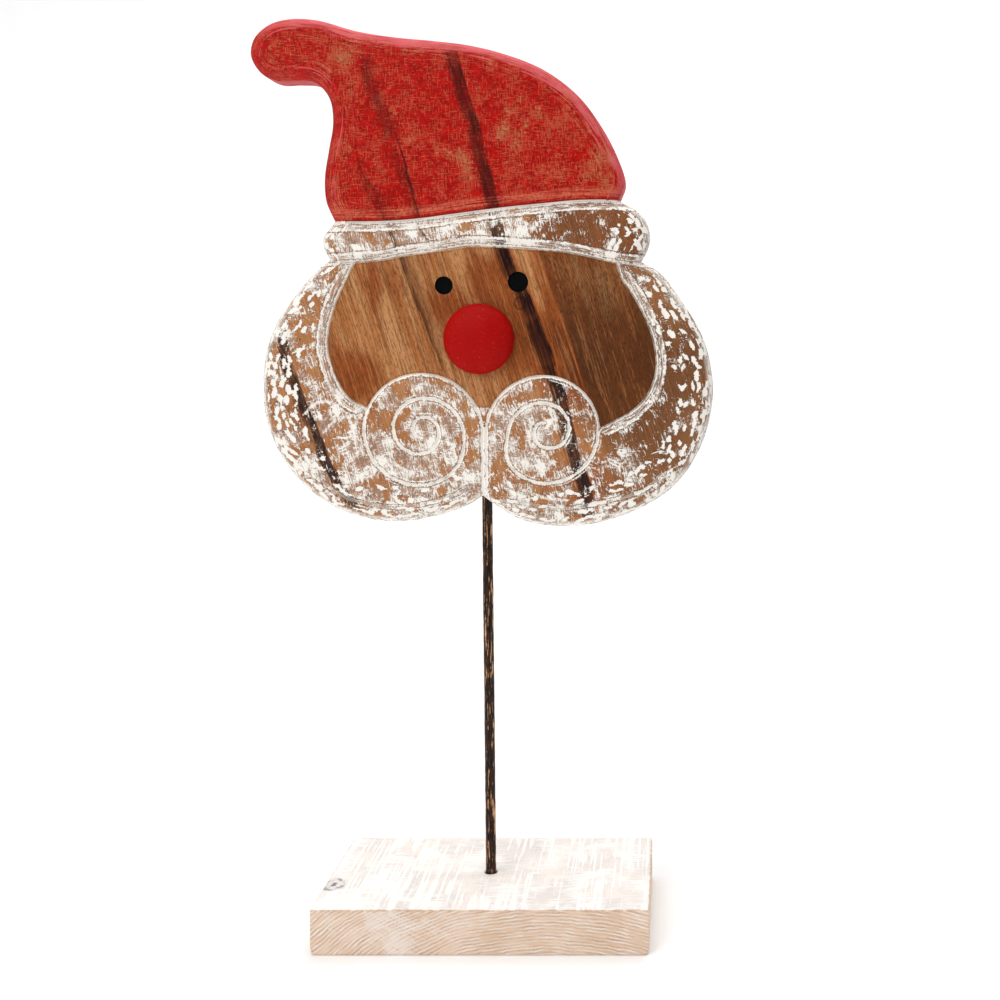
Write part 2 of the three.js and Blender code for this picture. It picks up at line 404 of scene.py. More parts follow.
# %% Gouge marks round brim and beard
EDGE_ARC = EDGE_ROUND * math.pi / 2
_, edge_run = measure(edge_loop, edge_places)
RIM_START = edge_run[np.argmin(np.linalg.norm(edge_places - np.array(HAT_RIGHT), axis=1))]
RIM_END = edge_run.max()
GOUGE_ROWS = (0.8, 3.4, 6.2, 9.0, 12.0, 15.0, 18.0)
GOUGE_SKIP_HIGH = (0.12, 0.05, 0.1, 0.2, 0.35, 0.45, 0.5)
GOUGE_SKIP_LOW = (0.12, 0.05, 0.12, 0.4, 0.8, 0.95, 1.0)
UPPER_BEARD = 240.0
MARK_LENGTH, MARK_WIDTH, MARK_DEPTH = (2.8, 5.4), (0.7, 1.5), (0.25, 0.5)
MARK_STRAY, MARK_SLANT, MARK_STEP = 0.9, 0.35, (0.75, 1.15)
MARK_WHITE = (0.35, 0.8, 1.0, 1.0)
MARK_HALF = 0.62
CHIN_CLEAR = 0.5


def gouge_marks(seed):
    """Marks: run along the edge, way in, half length, half width, depth, slant and white left."""
    draw = np.random.default_rng(seed)
    marks = []
    for row, skip_high, skip_low in zip(GOUGE_ROWS, GOUGE_SKIP_HIGH, GOUGE_SKIP_LOW):
        run = RIM_START + draw.uniform(0, 4)
        while run < RIM_END - 3:
            length = draw.uniform(*MARK_LENGTH)
            height = np.interp(run, edge_run, edge_places[:, 1])
            if draw.random() > (skip_high if height > UPPER_BEARD else skip_low):
                marks.append((
                    run + length / 2, row + draw.uniform(-MARK_STRAY, MARK_STRAY), MARK_HALF * length,
                    draw.uniform(*MARK_WIDTH), draw.uniform(*MARK_DEPTH),
                    draw.uniform(-MARK_SLANT, MARK_SLANT), draw.choice(MARK_WHITE),
                ))
            run += length * draw.uniform(*MARK_STEP)
    return marks


def past_chin(mark):
    """Whether a mark stays off the notch at the chin, where it would bend round the corner."""
    run, row, half_length = mark[:3]
    return row < GOUGE_ROWS[1] - MARK_STRAY or abs(run - CHIN_RUN) > half_length + CHIN_CLEAR


CHIN_RUN = edge_run[np.argmin(np.linalg.norm(edge_places - np.array(CHIN), axis=1))]
MARKS = [mark for mark in gouge_marks(11) if past_chin(mark)]
print(len(MARKS), "gouge marks")

# %% How deep the scoops are


def gouge_depth(run, inward):
    """Depth of the deepest scoop at each place of the rim, and how far inside a scoop it is."""
    depth = np.zeros(len(run))
    share = np.zeros(len(run))
    order = np.argsort(run)
    sorted_run = run[order]
    for mid, row, half_length, half_width, deep, slant, white in MARKS:
        first, last = np.searchsorted(sorted_run, (mid - half_length - 2, mid + half_length + 2))
        near = order[first:last]
        along = run[near] - mid
        across = inward[near] - row - slant * along
        inner = np.clip(1 - (along / half_length) ** 2 - (across / half_width) ** 2, 0, 1)
        depth[near] = np.maximum(depth[near], deep * inner)
        share[near] = np.maximum(share[near], white * np.sqrt(inner))
    return depth, share


row_starts = np.array([mark[0] for mark in MARKS[:5]])
print("first scoops are", gouge_depth(row_starts, np.array([mark[1] for mark in MARKS[:5]]))[0].round(2))

# %% [markdown]
# ## The board's front as a relief
# A carved face like this could be sculpted, or cut with booleans, one V after the other. Here it
# is laid as a sheet of small triangles instead, because the paint later needs to know at every
# point how near the next cut or edge is, and a boolean leaves big flat faces with nothing to
# carry that. The sheet's points follow the cuts, lie closer together where the gouge went, and
# are joined by a Delaunay triangulation that keeps the bottom of every V as a crisp edge.

# %% Spreading points over a sheet
# Points are looked up in square cells, which are a little wider than the widest gap.
CELL = 1.2


def spread_out(batches):
    """Keeps each batch's points that have their own gap to all points kept before."""
    cells = {}
    kept = []
    for places, gap in batches:
        for x, z in places:
            column, row = int(x // CELL), int(z // CELL)
            near = (
                point
                for i in (-1, 0, 1)
                for j in (-1, 0, 1)
                for point in cells.get((column + i, row + j), ())
            )
            if gap == 0 or all((x - u) ** 2 + (z - v) ** 2 > gap * gap for u, v in near):
                cells.setdefault((column, row), []).append((x, z))
                kept.append((x, z))
    return kept


def hex_grid(step):
    """A honeycomb of points over the whole board."""
    rows = np.arange(board_low[2], board_high[2], step * math.sqrt(3) / 2)
    columns = np.arange(board_low[0], board_high[0], step)
    grid = [
        (x + (index % 2) * step / 2, z)
        for index, z in enumerate(rows)
        for x in columns
    ]
    return np.array(grid)


three_points = [(0, 0), (0.5, 0), (1, 0)]
print("of three points half a millimetre apart stay:", spread_out([(three_points, 0.8)]))

# %% Lines and circles of points


def beside(shape, offset):
    """A line that runs beside a cut's bottom, to its left for a positive offset."""
    line = shape["line"]
    tangent = np.gradient(line, axis=0)
    tangent /= np.linalg.norm(tangent, axis=1)[:, None]
    return line + offset * np.stack([-tangent[:, 1], tangent[:, 0]], axis=1)


def circle(x, z, radius, count=40):
    """Points round a circle on the board."""
    angle = np.linspace(0, 2 * math.pi, count, endpoint=False)
    return np.stack([x + radius * np.cos(angle), z + radius * np.sin(angle)], axis=1)


def deep_inside(places, margin):
    """Places further inside the outline than the rounded edge."""
    signed, _ = measure(edge_loop, places)
    return places[-signed > EDGE_ROUND + margin]


coarse = hex_grid(5.0)
print(len(coarse), "points of a coarse honeycomb,", len(deep_inside(coarse, 0.0)), "inside the rounded edge")

# %% Points of the front sheet
FILL_STEP = 1.05
RIM_STEP = 0.72
RIM_BAND = 13.0
CUT_GAP, RIM_GAP, FILL_GAP = 0.36, 0.5, 0.72
EYE_WALL = 0.3


def front_points():
    """All points of the sheet, with the edges that the triangulation has to keep."""
    fixed = [tuple(place) for place in ring]
    edges = [(i, (i + 1) % len(ring)) for i in range(len(ring))]
    for shape in CUTS.values():
        first = len(fixed)
        fixed.extend(map(tuple, deep_inside(shape["line"], 0.3)))
        edges.extend((i, i + 1) for i in range(first, len(fixed) - 1))
    for x, z, radius in EYES.values():
        for size in (radius, radius - EYE_WALL):
            first = len(fixed)
            loop = circle(x, z, size)
            fixed.extend(map(tuple, loop))
            edges.extend((first + i, first + (i + 1) % len(loop)) for i in range(len(loop)))
    beside_cuts = []
    for shape in CUTS.values():
        for side, width in ((1, shape["left"]), (-1, shape["right"])):
            offsets = [0.5 * width, width, width + 0.4]
            if shape["crease"] and width > 2:
                offsets = [0.3 * width, 0.65 * width, width - 0.45, width, width + 0.45]
            beside_cuts.extend(beside(shape, side * offset) for offset in offsets)
    beside_cuts = deep_inside(np.vstack(beside_cuts), 0.35)
    fill = hex_grid(FILL_STEP)
    fine = hex_grid(RIM_STEP)
    signed, _ = measure(edge_loop, fine)
    above_hat_line = measure(CUTS["hat"]["line"], fine)[0] > 3
    fine = fine[(-signed > EDGE_ROUND + 0.4) & (-signed < RIM_BAND) & ~above_hat_line]
    points = spread_out([
        (fixed, 0), (beside_cuts, CUT_GAP), (fine, RIM_GAP), (deep_inside(fill, 0.6), FILL_GAP),
    ])
    return points, edges


def triangulate(points, edges):
    """Triangles over the points, inside the ring, that keep the given edges."""
    result = delaunay_2d_cdt([Vector(point) for point in points], edges, [], 1, 1e-4)
    places = np.array([tuple(point) for point in result[0]])
    return places, np.array(result[2])


front_places, front_faces = triangulate(*front_points())
print(len(front_places), "points and", len(front_faces), "triangles on the front")

# %% [markdown]
# ## Depth at every point
# The depth of the carving is one function of the place: the deepest of the cuts, the lowered
# face, the eyes and the gouge marks, on top of a little unevenness that sanding leaves. The front
# sheet and the columns of the edge use the same function, so they meet without a step.

# %% Depth of the carving
UNEVEN, MOST_UNEVEN = 0.06, 0.2
EYE_DEPTH = 0.9
# Carving fades with this power of how far a column of the edge still faces the front.
EDGE_FADE = 0.7
uneven = waves(21, 7, 14, 70)


def carving(places, run, inward, front_share):
    """Depth below the plain board at each place, and what the paint has to know of the cuts."""
    depth = np.zeros(len(places))
    groove = np.zeros(len(places))
    across = np.full(len(places), 999.0)
    along = np.zeros(len(places))
    flank = np.ones(len(places))
    for shape in CUTS.values():
        v, share, signed, cut_run = v_depth(shape, places)
        nearer = np.abs(signed) < np.abs(across)
        across = np.where(nearer, signed, across)
        along = np.where(nearer, cut_run, along)
        flank = np.where(nearer, np.where(signed > 0, shape["left"], shape["right"]), flank)
        depth = np.maximum(depth, v)
        groove = np.maximum(groove, share)
    lowered = inside(FACE_LOOP, places)
    depth = np.where(lowered, np.maximum(depth, FACE_DEPTH), depth)
    for x, z, radius in EYES.values():
        away = np.hypot(places[:, 0] - x, places[:, 1] - z)
        depth = depth + np.clip((radius - away) / EYE_WALL, 0, 1) * EYE_DEPTH
    depth = depth * front_share**EDGE_FADE
    groove = groove * front_share**EDGE_FADE
    scoop_depth, scoop = gouge_depth(run, inward)
    face_side = np.where(lowered, 0, 1)
    depth = np.maximum(depth, scoop_depth * face_side * (1 - groove))
    rise = UNEVEN * (1 + uneven(places[:, 0], places[:, 1]) / 2)
    marks = {
        "scoop": scoop * face_side, "off_cut": np.abs(across), "along_cut": along, "flank": flank,
    }
    return depth + np.clip(rise, 0, MOST_UNEVEN), marks


brow_depth, _ = carving(brow, np.zeros(len(brow)), np.full(len(brow), 99.0), np.ones(len(brow)))
print(f"the line over the face is {brow_depth.mean():.2f} mm deep on average")

# %% Rows of the rounded edge


def edge_grid():
    """Place, outward way, way in and carved share of every point of the edge, row by row."""
    # Each row: its turn from front to side, its part and its way in. The part is -1 on the front
    # corner, between 0 and 1 down the side, and 1 on the back corner.
    rows = []
    for step in range(FRONT_STEPS + 1):
        turn = ARRIS + (math.pi / 2 - ARRIS) * step / FRONT_STEPS
        rows.append((turn, -1, EDGE_ARC * (1 - step / FRONT_STEPS)))
    flat = 2 * (BOARD_HALF - EDGE_ROUND)
    for step in range(1, SIDE_STEPS):
        rows.append((math.pi / 2, step / SIDE_STEPS, -flat * step / SIDE_STEPS))
    for step in range(BACK_STEPS + 1):
        rows.append((math.pi / 2 * (1 - step / BACK_STEPS), 1, -flat - EDGE_ARC * step / BACK_STEPS))
    spots, outs, inwards, shares = [], [], [], []
    for angle, part, inward in rows:
        start = ARRIS if part == -1 else 0.0
        sunk = EDGE_ROUND * (1 - math.sin(angle)) / (1 - math.sin(start))
        depth = BOARD_HALF - EDGE_ROUND * (1 - math.cos(angle) / math.cos(start))
        y = depth * part if abs(part) == 1 else -(BOARD_HALF - EDGE_ROUND) + flat * part
        plane = edge_places + sunk * edge_ways
        side = np.sin(angle) * -edge_ways
        front = math.cos(angle) * (-1 if part < 1 else 1)
        spots.append(np.stack([plane[:, 0], np.full(len(plane), y), plane[:, 1]], axis=1))
        outs.append(np.stack([side[:, 0], np.full(len(plane), front), side[:, 1]], axis=1))
        inwards.append(np.full(len(plane), inward))
        shares.append(np.full(len(plane), max(0.0, math.cos(angle)) if part == -1 else 0.0))
    return tuple(np.vstack(block) if block[0].ndim == 2 else np.concatenate(block)
                 for block in (spots, outs, inwards, shares))


edge_spots, edge_outs, edge_inward, edge_front = edge_grid()
edge_rows = len(edge_spots) // len(edge_places)
print(edge_rows, "rows of points from the front round to the back")

# %% Where every point ends up
edge_runs = np.tile(edge_run, edge_rows)
edge_plane = edge_spots[:, [0, 2]]
edge_depth, edge_marks = carving(edge_plane, edge_runs, edge_inward, edge_front)
edge_final = edge_spots - edge_outs * edge_depth[:, None]
front_signed, front_run = measure(edge_loop, front_places)
front_inward = EDGE_ARC - front_signed - EDGE_ROUND
front_inward = np.maximum(front_inward, EDGE_ARC)
front_depth, front_marks = carving(
    front_places, front_run, front_inward, np.ones(len(front_places))
)
front_final = np.stack(
    [front_places[:, 0], -BOARD_HALF + front_depth, front_places[:, 1]], axis=1
)
on_ring = np.flatnonzero(np.abs(front_signed) < EDGE_ROUND + 0.05)
for index in on_ring:
    column = np.linalg.norm(ring - front_places[index], axis=1).argmin()
    front_final[index] = edge_final[column]
print(f"deepest carving {front_depth.max():.2f} mm")

# %% [markdown]
# ## One closed board
# Front sheet, rounded edge and a plain back are put into one mesh. The shared rows lie on top of
# each other, so merging by distance closes the board. Every point carries a few numbers for the
# paint: how far in from the side it is, how far round the edge, how far off the next cut and how
# far along it, how wide that cut's side is, and how deep in a scoop it lies.

# %% The back sheet and the faces of the edge
BACK_STEP = 3.0
BACK_GAP = 1.19


def back_sheet():
    """The plain back: a coarse sheet that only has the hat's line as an edge between two finishes."""
    fixed = [tuple(place) for place in ring]
    edges = [(i, (i + 1) % len(ring)) for i in range(len(ring))]
    first = len(fixed)
    fixed.extend(map(tuple, deep_inside(CUTS["hat"]["line"][::2], 1)))
    edges.extend((i, i + 1) for i in range(first, len(fixed) - 1))
    fill = deep_inside(hex_grid(BACK_STEP), 1.5)
    return triangulate(spread_out([(fixed, 0), (fill, BACK_GAP)]), edges)


def edge_faces():
    """Four-sided faces between the rows of the edge's columns."""
    count = len(edge_places)
    return [
        (
            row * count + column,
            row * count + (column + 1) % count,
            (row + 1) * count + (column + 1) % count,
            (row + 1) * count + column,
        )
        for row in range(edge_rows - 1)
        for column in range(count)
    ]


back_places, back_faces = back_sheet()
print(len(back_faces), "triangles on the back,", len(edge_faces()), "faces on the edge")

# %% Helpers that make and pick a piece


def add_values(mesh, name, values):
    """Gives every point of a mesh a number that materials can read."""
    mesh.attributes.new(name, "FLOAT", "POINT").data.foreach_set("value", values.astype(np.float32))


def mesh_piece(name, places, faces):
    """A new piece from places in millimetres and the faces between them."""
    mesh = bpy.data.meshes.new(name)
    mesh.from_pydata([tuple(place) for place in places * MM], [], [tuple(face) for face in faces])
    piece = bpy.data.objects.new(name, mesh)
    bpy.context.collection.objects.link(piece)
    return piece


def pick(piece):
    """Makes a piece the only one that operators act on."""
    bpy.ops.object.select_all(action="DESELECT")
    piece.select_set(True)
    bpy.context.view_layer.objects.active = piece


def open_edges(piece):
    """How many edges of a mesh don't have exactly two faces."""
    check = bmesh.new()
    check.from_mesh(piece.data)
    count = sum(not edge.is_manifold for edge in check.edges)
    check.free()
    return count


# %% The board, put together
back_final = np.stack(
    [back_places[:, 0], np.full(len(back_places), BOARD_HALF), back_places[:, 1]], axis=1
)
back_uneven = UNEVEN * (1 + uneven(back_places[:, 0] + 40, back_places[:, 1]) / 2)
on_ring = np.abs(measure(edge_loop, back_places)[0]) < EDGE_ROUND + 0.2
back_final[:, 1] -= np.where(on_ring, 0, np.clip(back_uneven, 0, MOST_UNEVEN))
# The last row of the edge takes its unevenness from the front's rule, so it is laid flat here.
edge_final[-len(edge_places):, 1] = BOARD_HALF
first_front = len(edge_final)
first_back = first_front + len(front_final)
board = mesh_piece(
    "carved_head",
    np.vstack([edge_final, front_final, back_final]),
    edge_faces()
    + [tuple(face) for face in front_faces + first_front]
    + [tuple(face) for face in back_faces + first_back],
)
print(board.name, "has", len(board.data.vertices), "points before it is closed")

# %% What the board tells its paint, and closing it
back_signed, back_run = measure(edge_loop, back_places)
back_inward = edge_inward.min() - np.maximum(-back_signed - EDGE_ROUND, 0)
add_values(board.data, "inward", np.concatenate([edge_inward, front_inward, back_inward]))
add_values(board.data, "run", np.concatenate([edge_runs, front_run, back_run]))
plain_back = {"off_cut": 99.0, "flank": 1.0}
for name, values in front_marks.items():
    back_values = np.full(len(back_final), plain_back.get(name, 0.0))
    add_values(board.data, name, np.concatenate([edge_marks[name], values, back_values]))
pick(board)
bpy.ops.object.mode_set(mode="EDIT")
bpy.ops.mesh.select_all(action="SELECT")
bpy.ops.mesh.remove_doubles(threshold=0.03 * MM)
bpy.ops.mesh.dissolve_degenerate(threshold=0.002 * MM)
bpy.ops.mesh.select_all(action="SELECT")
bpy.ops.mesh.normals_make_consistent(inside=False)
bpy.ops.object.mode_set(mode="OBJECT")
print(len(board.data.polygons), "faces on the board,", open_edges(board), "open edges")

# %% [markdown]
# ## The nose
# The nose is a round wooden button glued on the face. It starts as a ball whose poles point to
# the front and the back. The ball is pressed flat and cut in half, and the rim of the half is
# drawn back to meet the face. A Displace modifier gives it the slight unevenness of thick
# brushed paint. A cylinder with a bevel would leave its front flat, and the real one is domed.

# %% The nose button
NOSE_RIM = 1.5


def dent(piece, name, size, depth, group=""):
    """Presses a cloudy unevenness into a mesh, inwards only, and applies it."""
    cloud = bpy.data.textures.new(name, "CLOUDS")
    cloud.noise_scale = size * MM
    press = piece.modifiers.new(name, "DISPLACE")
    press.texture = cloud
    press.texture_coords = "LOCAL"
    press.strength = depth * MM
    press.mid_level = 1.0
    press.vertex_group = group
    bpy.ops.object.modifier_apply(modifier=name)


def keep_group(piece, name, test):
    """A vertex group of the points that pass a test of their place in millimetres."""
    chosen = [vertex.index for vertex in piece.data.vertices if test(vertex.co / MM)]
    piece.vertex_groups.new(name=name).add(chosen, 1.0, "REPLACE")


nose_x, nose_z = (NOSE_LOW[0] + NOSE_HIGH[0]) / 2, (NOSE_LOW[2] + NOSE_HIGH[2]) / 2
nose_radius = (NOSE_HIGH[0] - NOSE_LOW[0]) / 2
dome_y = NOSE_HIGH[1] - NOSE_RIM
bpy.ops.object.select_all(action="DESELECT")
bpy.ops.mesh.primitive_uv_sphere_add(
    segments=96, ring_count=64, radius=nose_radius * MM,
    location=(nose_x * MM, dome_y * MM, nose_z * MM), rotation=(math.pi / 2, 0, 0),
)
nose = bpy.context.object
nose.name = "nose_button"
bpy.ops.object.transform_apply(location=True, rotation=True, scale=True)
bpy.ops.object.mode_set(mode="EDIT")
bpy.ops.mesh.select_all(action="SELECT")
bpy.ops.transform.resize(
    value=(1, (dome_y - NOSE_LOW[1]) / nose_radius, 1),
    center_override=(nose_x * MM, dome_y * MM, nose_z * MM),
)
bpy.ops.mesh.bisect(plane_co=(0, dome_y * MM, 0), plane_no=(0, 1, 0), clear_outer=True)
bpy.ops.mesh.extrude_edges_move(TRANSFORM_OT_translate={"value": (0, NOSE_RIM * MM, 0)})
bpy.ops.mesh.edge_face_add()
bpy.ops.mesh.select_all(action="SELECT")
bpy.ops.mesh.normals_make_consistent(inside=False)
bpy.ops.object.mode_set(mode="OBJECT")
keep_group(nose, "dome", lambda co: co.y < dome_y - 0.2)
dent(nose, "brushed_paint", 9, 0.35, "dome")
bpy.ops.object.shade_smooth_by_angle(angle=math.radians(50))
print("nose:", len(nose.data.polygons), "faces")

# %% [markdown]
# ## The rod
# The stand's rod is dark iron with a hammered, slightly uneven skin. It is a cylinder cut into
# many short rings, so that the Displace modifier has points to press in.

# %% The stand rod
ROD_SIDES = 32
ROD_RINGS = 90


def select_edges(piece, test):
    """Selects the edges whose middle and direction pass a test, in millimetres."""
    shape = bmesh.from_edit_mesh(piece.data)
    for edge in shape.edges:
        a, b = (vertex.co / MM for vertex in edge.verts)
        edge.select_set(bool(test((a + b) / 2, (b - a).normalized())))
    shape.select_flush_mode()
    bmesh.update_edit_mesh(piece.data)


bpy.ops.object.select_all(action="DESELECT")
bpy.ops.mesh.primitive_cylinder_add(
    vertices=ROD_SIDES, radius=ROD_RADIUS * MM, depth=(ROD_HIGH[2] - ROD_LOW[2]) * MM,
    location=(ROD_X * MM, 0, (ROD_LOW[2] + ROD_HIGH[2]) / 2 * MM),
)
rod = bpy.context.object
rod.name = "stand_rod"
bpy.ops.object.transform_apply(location=True, rotation=True, scale=True)
bpy.ops.object.mode_set(mode="EDIT")
bpy.ops.mesh.select_mode(type="EDGE")
select_edges(rod, lambda middle, way: abs(way.z) < 0.5)
bpy.ops.mesh.bevel(offset=0.3 * MM, segments=2, affect="EDGES")
select_edges(rod, lambda middle, way: abs(way.z) > 0.99)
bpy.ops.mesh.subdivide(number_cuts=ROD_RINGS)
bpy.ops.object.mode_set(mode="OBJECT")
dent(rod, "hammered", 3.5, 0.3)
dent(rod, "scale", 1.2, 0.12)
bpy.ops.object.shade_smooth_by_angle(angle=math.radians(60))
print("rod:", len(rod.data.polygons), "faces")

# %% [markdown]
# ## The base block
# The block is sawn from a board. Its lower long corners are sanded round, its upper ones only
# eased, and the saw left the ends crisp. It is a cube with three bevels, cut by many bisecting
# planes so that the Displace modifier can wear it. Its underside stays flat, because it stands
# on it.

# %% The base block
FOOT_ROUND, TOP_ROUND, END_ROUND = 3.0, 1.0, 0.8
WEAR_GRID = 2.0
base_size = BASE_HIGH - BASE_LOW
base_middle = (BASE_HIGH + BASE_LOW) / 2


def bevel_edges(piece, offset, segments, test):
    """Rounds the edges that pass a test."""
    select_edges(piece, test)
    bpy.ops.mesh.bevel(offset=offset * MM, segments=segments, affect="EDGES")


def cut_grid(axis, low, high, step):
    """Cuts the mesh in edit mode by evenly spaced planes."""
    normal = [0, 0, 0]
    normal[axis] = 1
    for place in np.arange(low + step / 2, high, step):
        bpy.ops.mesh.select_all(action="SELECT")
        bpy.ops.mesh.bisect(plane_co=[place * MM * part for part in normal], plane_no=normal)


bpy.ops.object.select_all(action="DESELECT")
bpy.ops.mesh.primitive_cube_add(size=MM, location=base_middle * MM, scale=base_size)
block = bpy.context.object
block.name = "base_block"
bpy.ops.object.transform_apply(location=True, rotation=True, scale=True)
bpy.ops.object.mode_set(mode="EDIT")
bpy.ops.mesh.select_mode(type="EDGE")
bevel_edges(block, FOOT_ROUND, 6, lambda at, way: abs(way.y) > 0.9 and at.z < 1)
bevel_edges(block, TOP_ROUND, 3, lambda at, way: abs(way.y) > 0.9 and at.z > BASE_HIGH[2] - 0.5)
bevel_edges(block, END_ROUND, 3, lambda at, way: abs(at.y) > BASE_HIGH[1] - 0.01)
for axis in (0, 1, 2):
    cut_grid(axis, BASE_LOW[axis] + 1, BASE_HIGH[axis] - 1, WEAR_GRID)
bpy.ops.object.mode_set(mode="OBJECT")
keep_group(block, "worn", lambda co: co.z > 1.2)
dent(block, "saw", 22, 0.35, "worn")
dent(block, "wear", 3, 0.22, "worn")
bpy.ops.object.shade_smooth_by_angle(angle=math.radians(35))
print("base:", len(block.data.polygons), "faces")

# %% [markdown]
# ## The bores for the rod
# The rod stands in a drilled hole in the block, and the head sits on it with a second one. A
# Boolean with a round cutter does what the drill did. The mouth in the block is eased, so the
# cutter's upper end is widened. The solids have the same holes with the same little gap.

# %% Two drilled holes
BORE_GAP = 0.3
BORE_RADIUS = ROD_RADIUS + BORE_GAP
BORE_EASE = 0.7
BELOW_CHIN = 15


def bore(piece, low, high, mouth, ease):
    """Drills a hole for the rod, its mouth eased, by a Boolean with a round cutter."""
    bpy.ops.object.select_all(action="DESELECT")
    bpy.ops.mesh.primitive_cylinder_add(
        vertices=ROD_SIDES, radius=BORE_RADIUS * MM, depth=(high - low) * MM,
        location=(ROD_X * MM, 0, (low + high) / 2 * MM),
    )
    cutter = bpy.context.object
    bpy.ops.object.mode_set(mode="EDIT")
    bpy.ops.mesh.select_all(action="SELECT")
    bpy.ops.mesh.bisect(plane_co=(0, 0, mouth * MM), plane_no=(0, 0, 1))
    end = high * MM
    shape = bmesh.from_edit_mesh(cutter.data)
    turn_in = cutter.matrix_world
    for vertex in shape.verts:
        vertex.select_set(bool(abs((turn_in @ vertex.co).z - end) < 0.01 * MM))
    shape.select_flush_mode()
    bmesh.update_edit_mesh(cutter.data)
    wider = 1 + 2 * ease / BORE_RADIUS
    bpy.ops.transform.resize(value=(wider, wider, 1), center_override=(ROD_X * MM, 0, end))
    bpy.ops.object.mode_set(mode="OBJECT")
    pick(piece)
    drill = piece.modifiers.new("bore", "BOOLEAN")
    drill.operation = "DIFFERENCE"
    drill.object = cutter
    drill.solver = "EXACT"
    bpy.ops.object.modifier_apply(modifier="bore")
    bpy.data.objects.remove(cutter)


bore(block, ROD_LOW[2] - BORE_GAP, BASE_HIGH[2] + BORE_EASE, BASE_HIGH[2] - BORE_EASE, BORE_EASE)
bore(board, CHIN[1] - BELOW_CHIN, ROD_HIGH[2] + BORE_GAP, CHIN[1], 0.0)
for piece in (block, board):
    print(piece.name, "after boring:", len(piece.data.polygons), "faces,", open_edges(piece), "open edges")

# %% [markdown]
# ## Small helpers for node materials
# A finish could be wired by hand in the shader editor, but these have a hundred nodes and more,
# so each node is added, set and wired in one line. A helper finds the node tree by itself, from
# the first socket that it is given.

# %% Nodes and numbers


def put(tree, kind, inputs=(), **settings):
    """Adds a shader node. An input is a plain value or the socket that feeds it."""
    made = tree.nodes.new("ShaderNode" + kind)
    for name, value in settings.items():
        setattr(made, name, value)
    for socket, value in dict(inputs).items():
        if isinstance(value, bpy.types.NodeSocket):
            tree.links.new(value, made.inputs[socket])
        else:
            made.inputs[socket].default_value = value
    return made


def tree_of(*values):
    """The node tree of the first socket among some values."""
    return next(value.id_data for value in values if isinstance(value, bpy.types.NodeSocket))


def calc(operation, *values):
    return put(tree_of(*values), "Math", enumerate(values), operation=operation).outputs[0]


def times(*values):
    return reduce(partial(calc, "MULTIPLY"), values)


def most(*values):
    return reduce(partial(calc, "MAXIMUM"), values)


def scaled(value, factor, more):
    """A value times a factor, plus something more."""
    return calc("MULTIPLY_ADD", value, factor, more)


def ease(value, low, high, to_low=0.0, to_high=1.0):
    """A smooth step of a value between two limits."""
    inputs = {"Value": value, "From Min": low, "From Max": high, "To Min": to_low, "To Max": to_high}
    return put(tree_of(value), "MapRange", inputs, interpolation_type="SMOOTHSTEP").outputs[0]


def fade(value, low, high, full=1.0):
    """A smooth step down to nothing."""
    return ease(value, low, high, full, 0.0)


def band(value, middle, near, far, full=1.0):
    """Full where a value is near a middle one, and nothing where it is far from it."""
    return fade(calc("ABSOLUTE", calc("SUBTRACT", value, middle)), near, far, full)


print("helpers for numbers:", ", ".join(f.__name__ for f in (calc, times, most, scaled, ease, fade, band)))

# %% [markdown]
# Colours are written as they are seen, in 0 to 255, and turned into the linear values that
# Blender counts in. Places are turned into millimetres, so that the size of a pattern reads as
# it would be measured on the real piece.

# %% Colours, noises and places


def tone(red, green, blue):
    """A colour as it is seen, in 0 to 255, as linear values."""
    part = [c / 255 for c in (red, green, blue)]
    return [c / 12.92 if c < 0.04045 else ((c + 0.055) / 1.055) ** 2.4 for c in part] + [1.0]


def mix(share, first, second):
    inputs = {0: share, 6: first, 7: second}
    return put(tree_of(share, first, second), "Mix", inputs, data_type="RGBA").outputs[2]


def noise(place, scale, detail=2.0, rough=0.5):
    inputs = {"Vector": place, "Scale": scale, "Detail": detail, "Roughness": rough}
    return put(tree_of(place), "TexNoise", inputs).outputs[0]


def values_at(tree, *names):
    """Numbers that the mesh carries at its points."""
    return [put(tree, "Attribute", attribute_name=name).outputs["Fac"] for name in names]


def place_in_mm(tree):
    """The place on the piece, in millimetres."""
    seen = put(tree, "TexCoord").outputs["Object"]
    return put(tree, "VectorMath", {0: seen, "Scale": 1 / MM}, operation="SCALE").outputs[0]


def apart(vector):
    return put(tree_of(vector), "SeparateXYZ", {0: vector}).outputs


def together(x, y, z):
    return put(tree_of(x, y, z), "CombineXYZ", {0: x, 1: y, 2: z}).outputs[0]


def vector_calc(operation, first, second, output="Vector"):
    inputs = {0: first, 1: second}
    return put(tree_of(first, second), "VectorMath", inputs, operation=operation).outputs[output]


print("a tone of 128 counts as", round(tone(128, 128, 128)[0], 3))

# %% New groups and materials


def new_group(name, inputs, outputs):
    """A node group with named sockets: its tree, its inputs and its outputs."""
    tree = bpy.data.node_groups.new(name, "ShaderNodeTree")
    for label, kind in inputs:
        tree.interface.new_socket(label, in_out="INPUT", socket_type="NodeSocket" + kind)
    for label, kind in outputs:
        tree.interface.new_socket(label, in_out="OUTPUT", socket_type="NodeSocket" + kind)
    return tree, tree.nodes.new("NodeGroupInput").outputs, tree.nodes.new("NodeGroupOutput").inputs


def send(value, output):
    """Leads a value to a socket of a group's output or of a shader."""
    value.id_data.links.new(value, output)


def use(group, inputs):
    """Places a node group and gives its outputs."""
    return put(tree_of(*inputs.values()), "Group", inputs, node_tree=group).outputs


def new_material(name):
    """A material with a shader: itself, its tree and the shader's inputs."""
    made = bpy.data.materials.new(name)
    made.use_nodes = True
    return made, made.node_tree, made.node_tree.nodes["Principled BSDF"].inputs


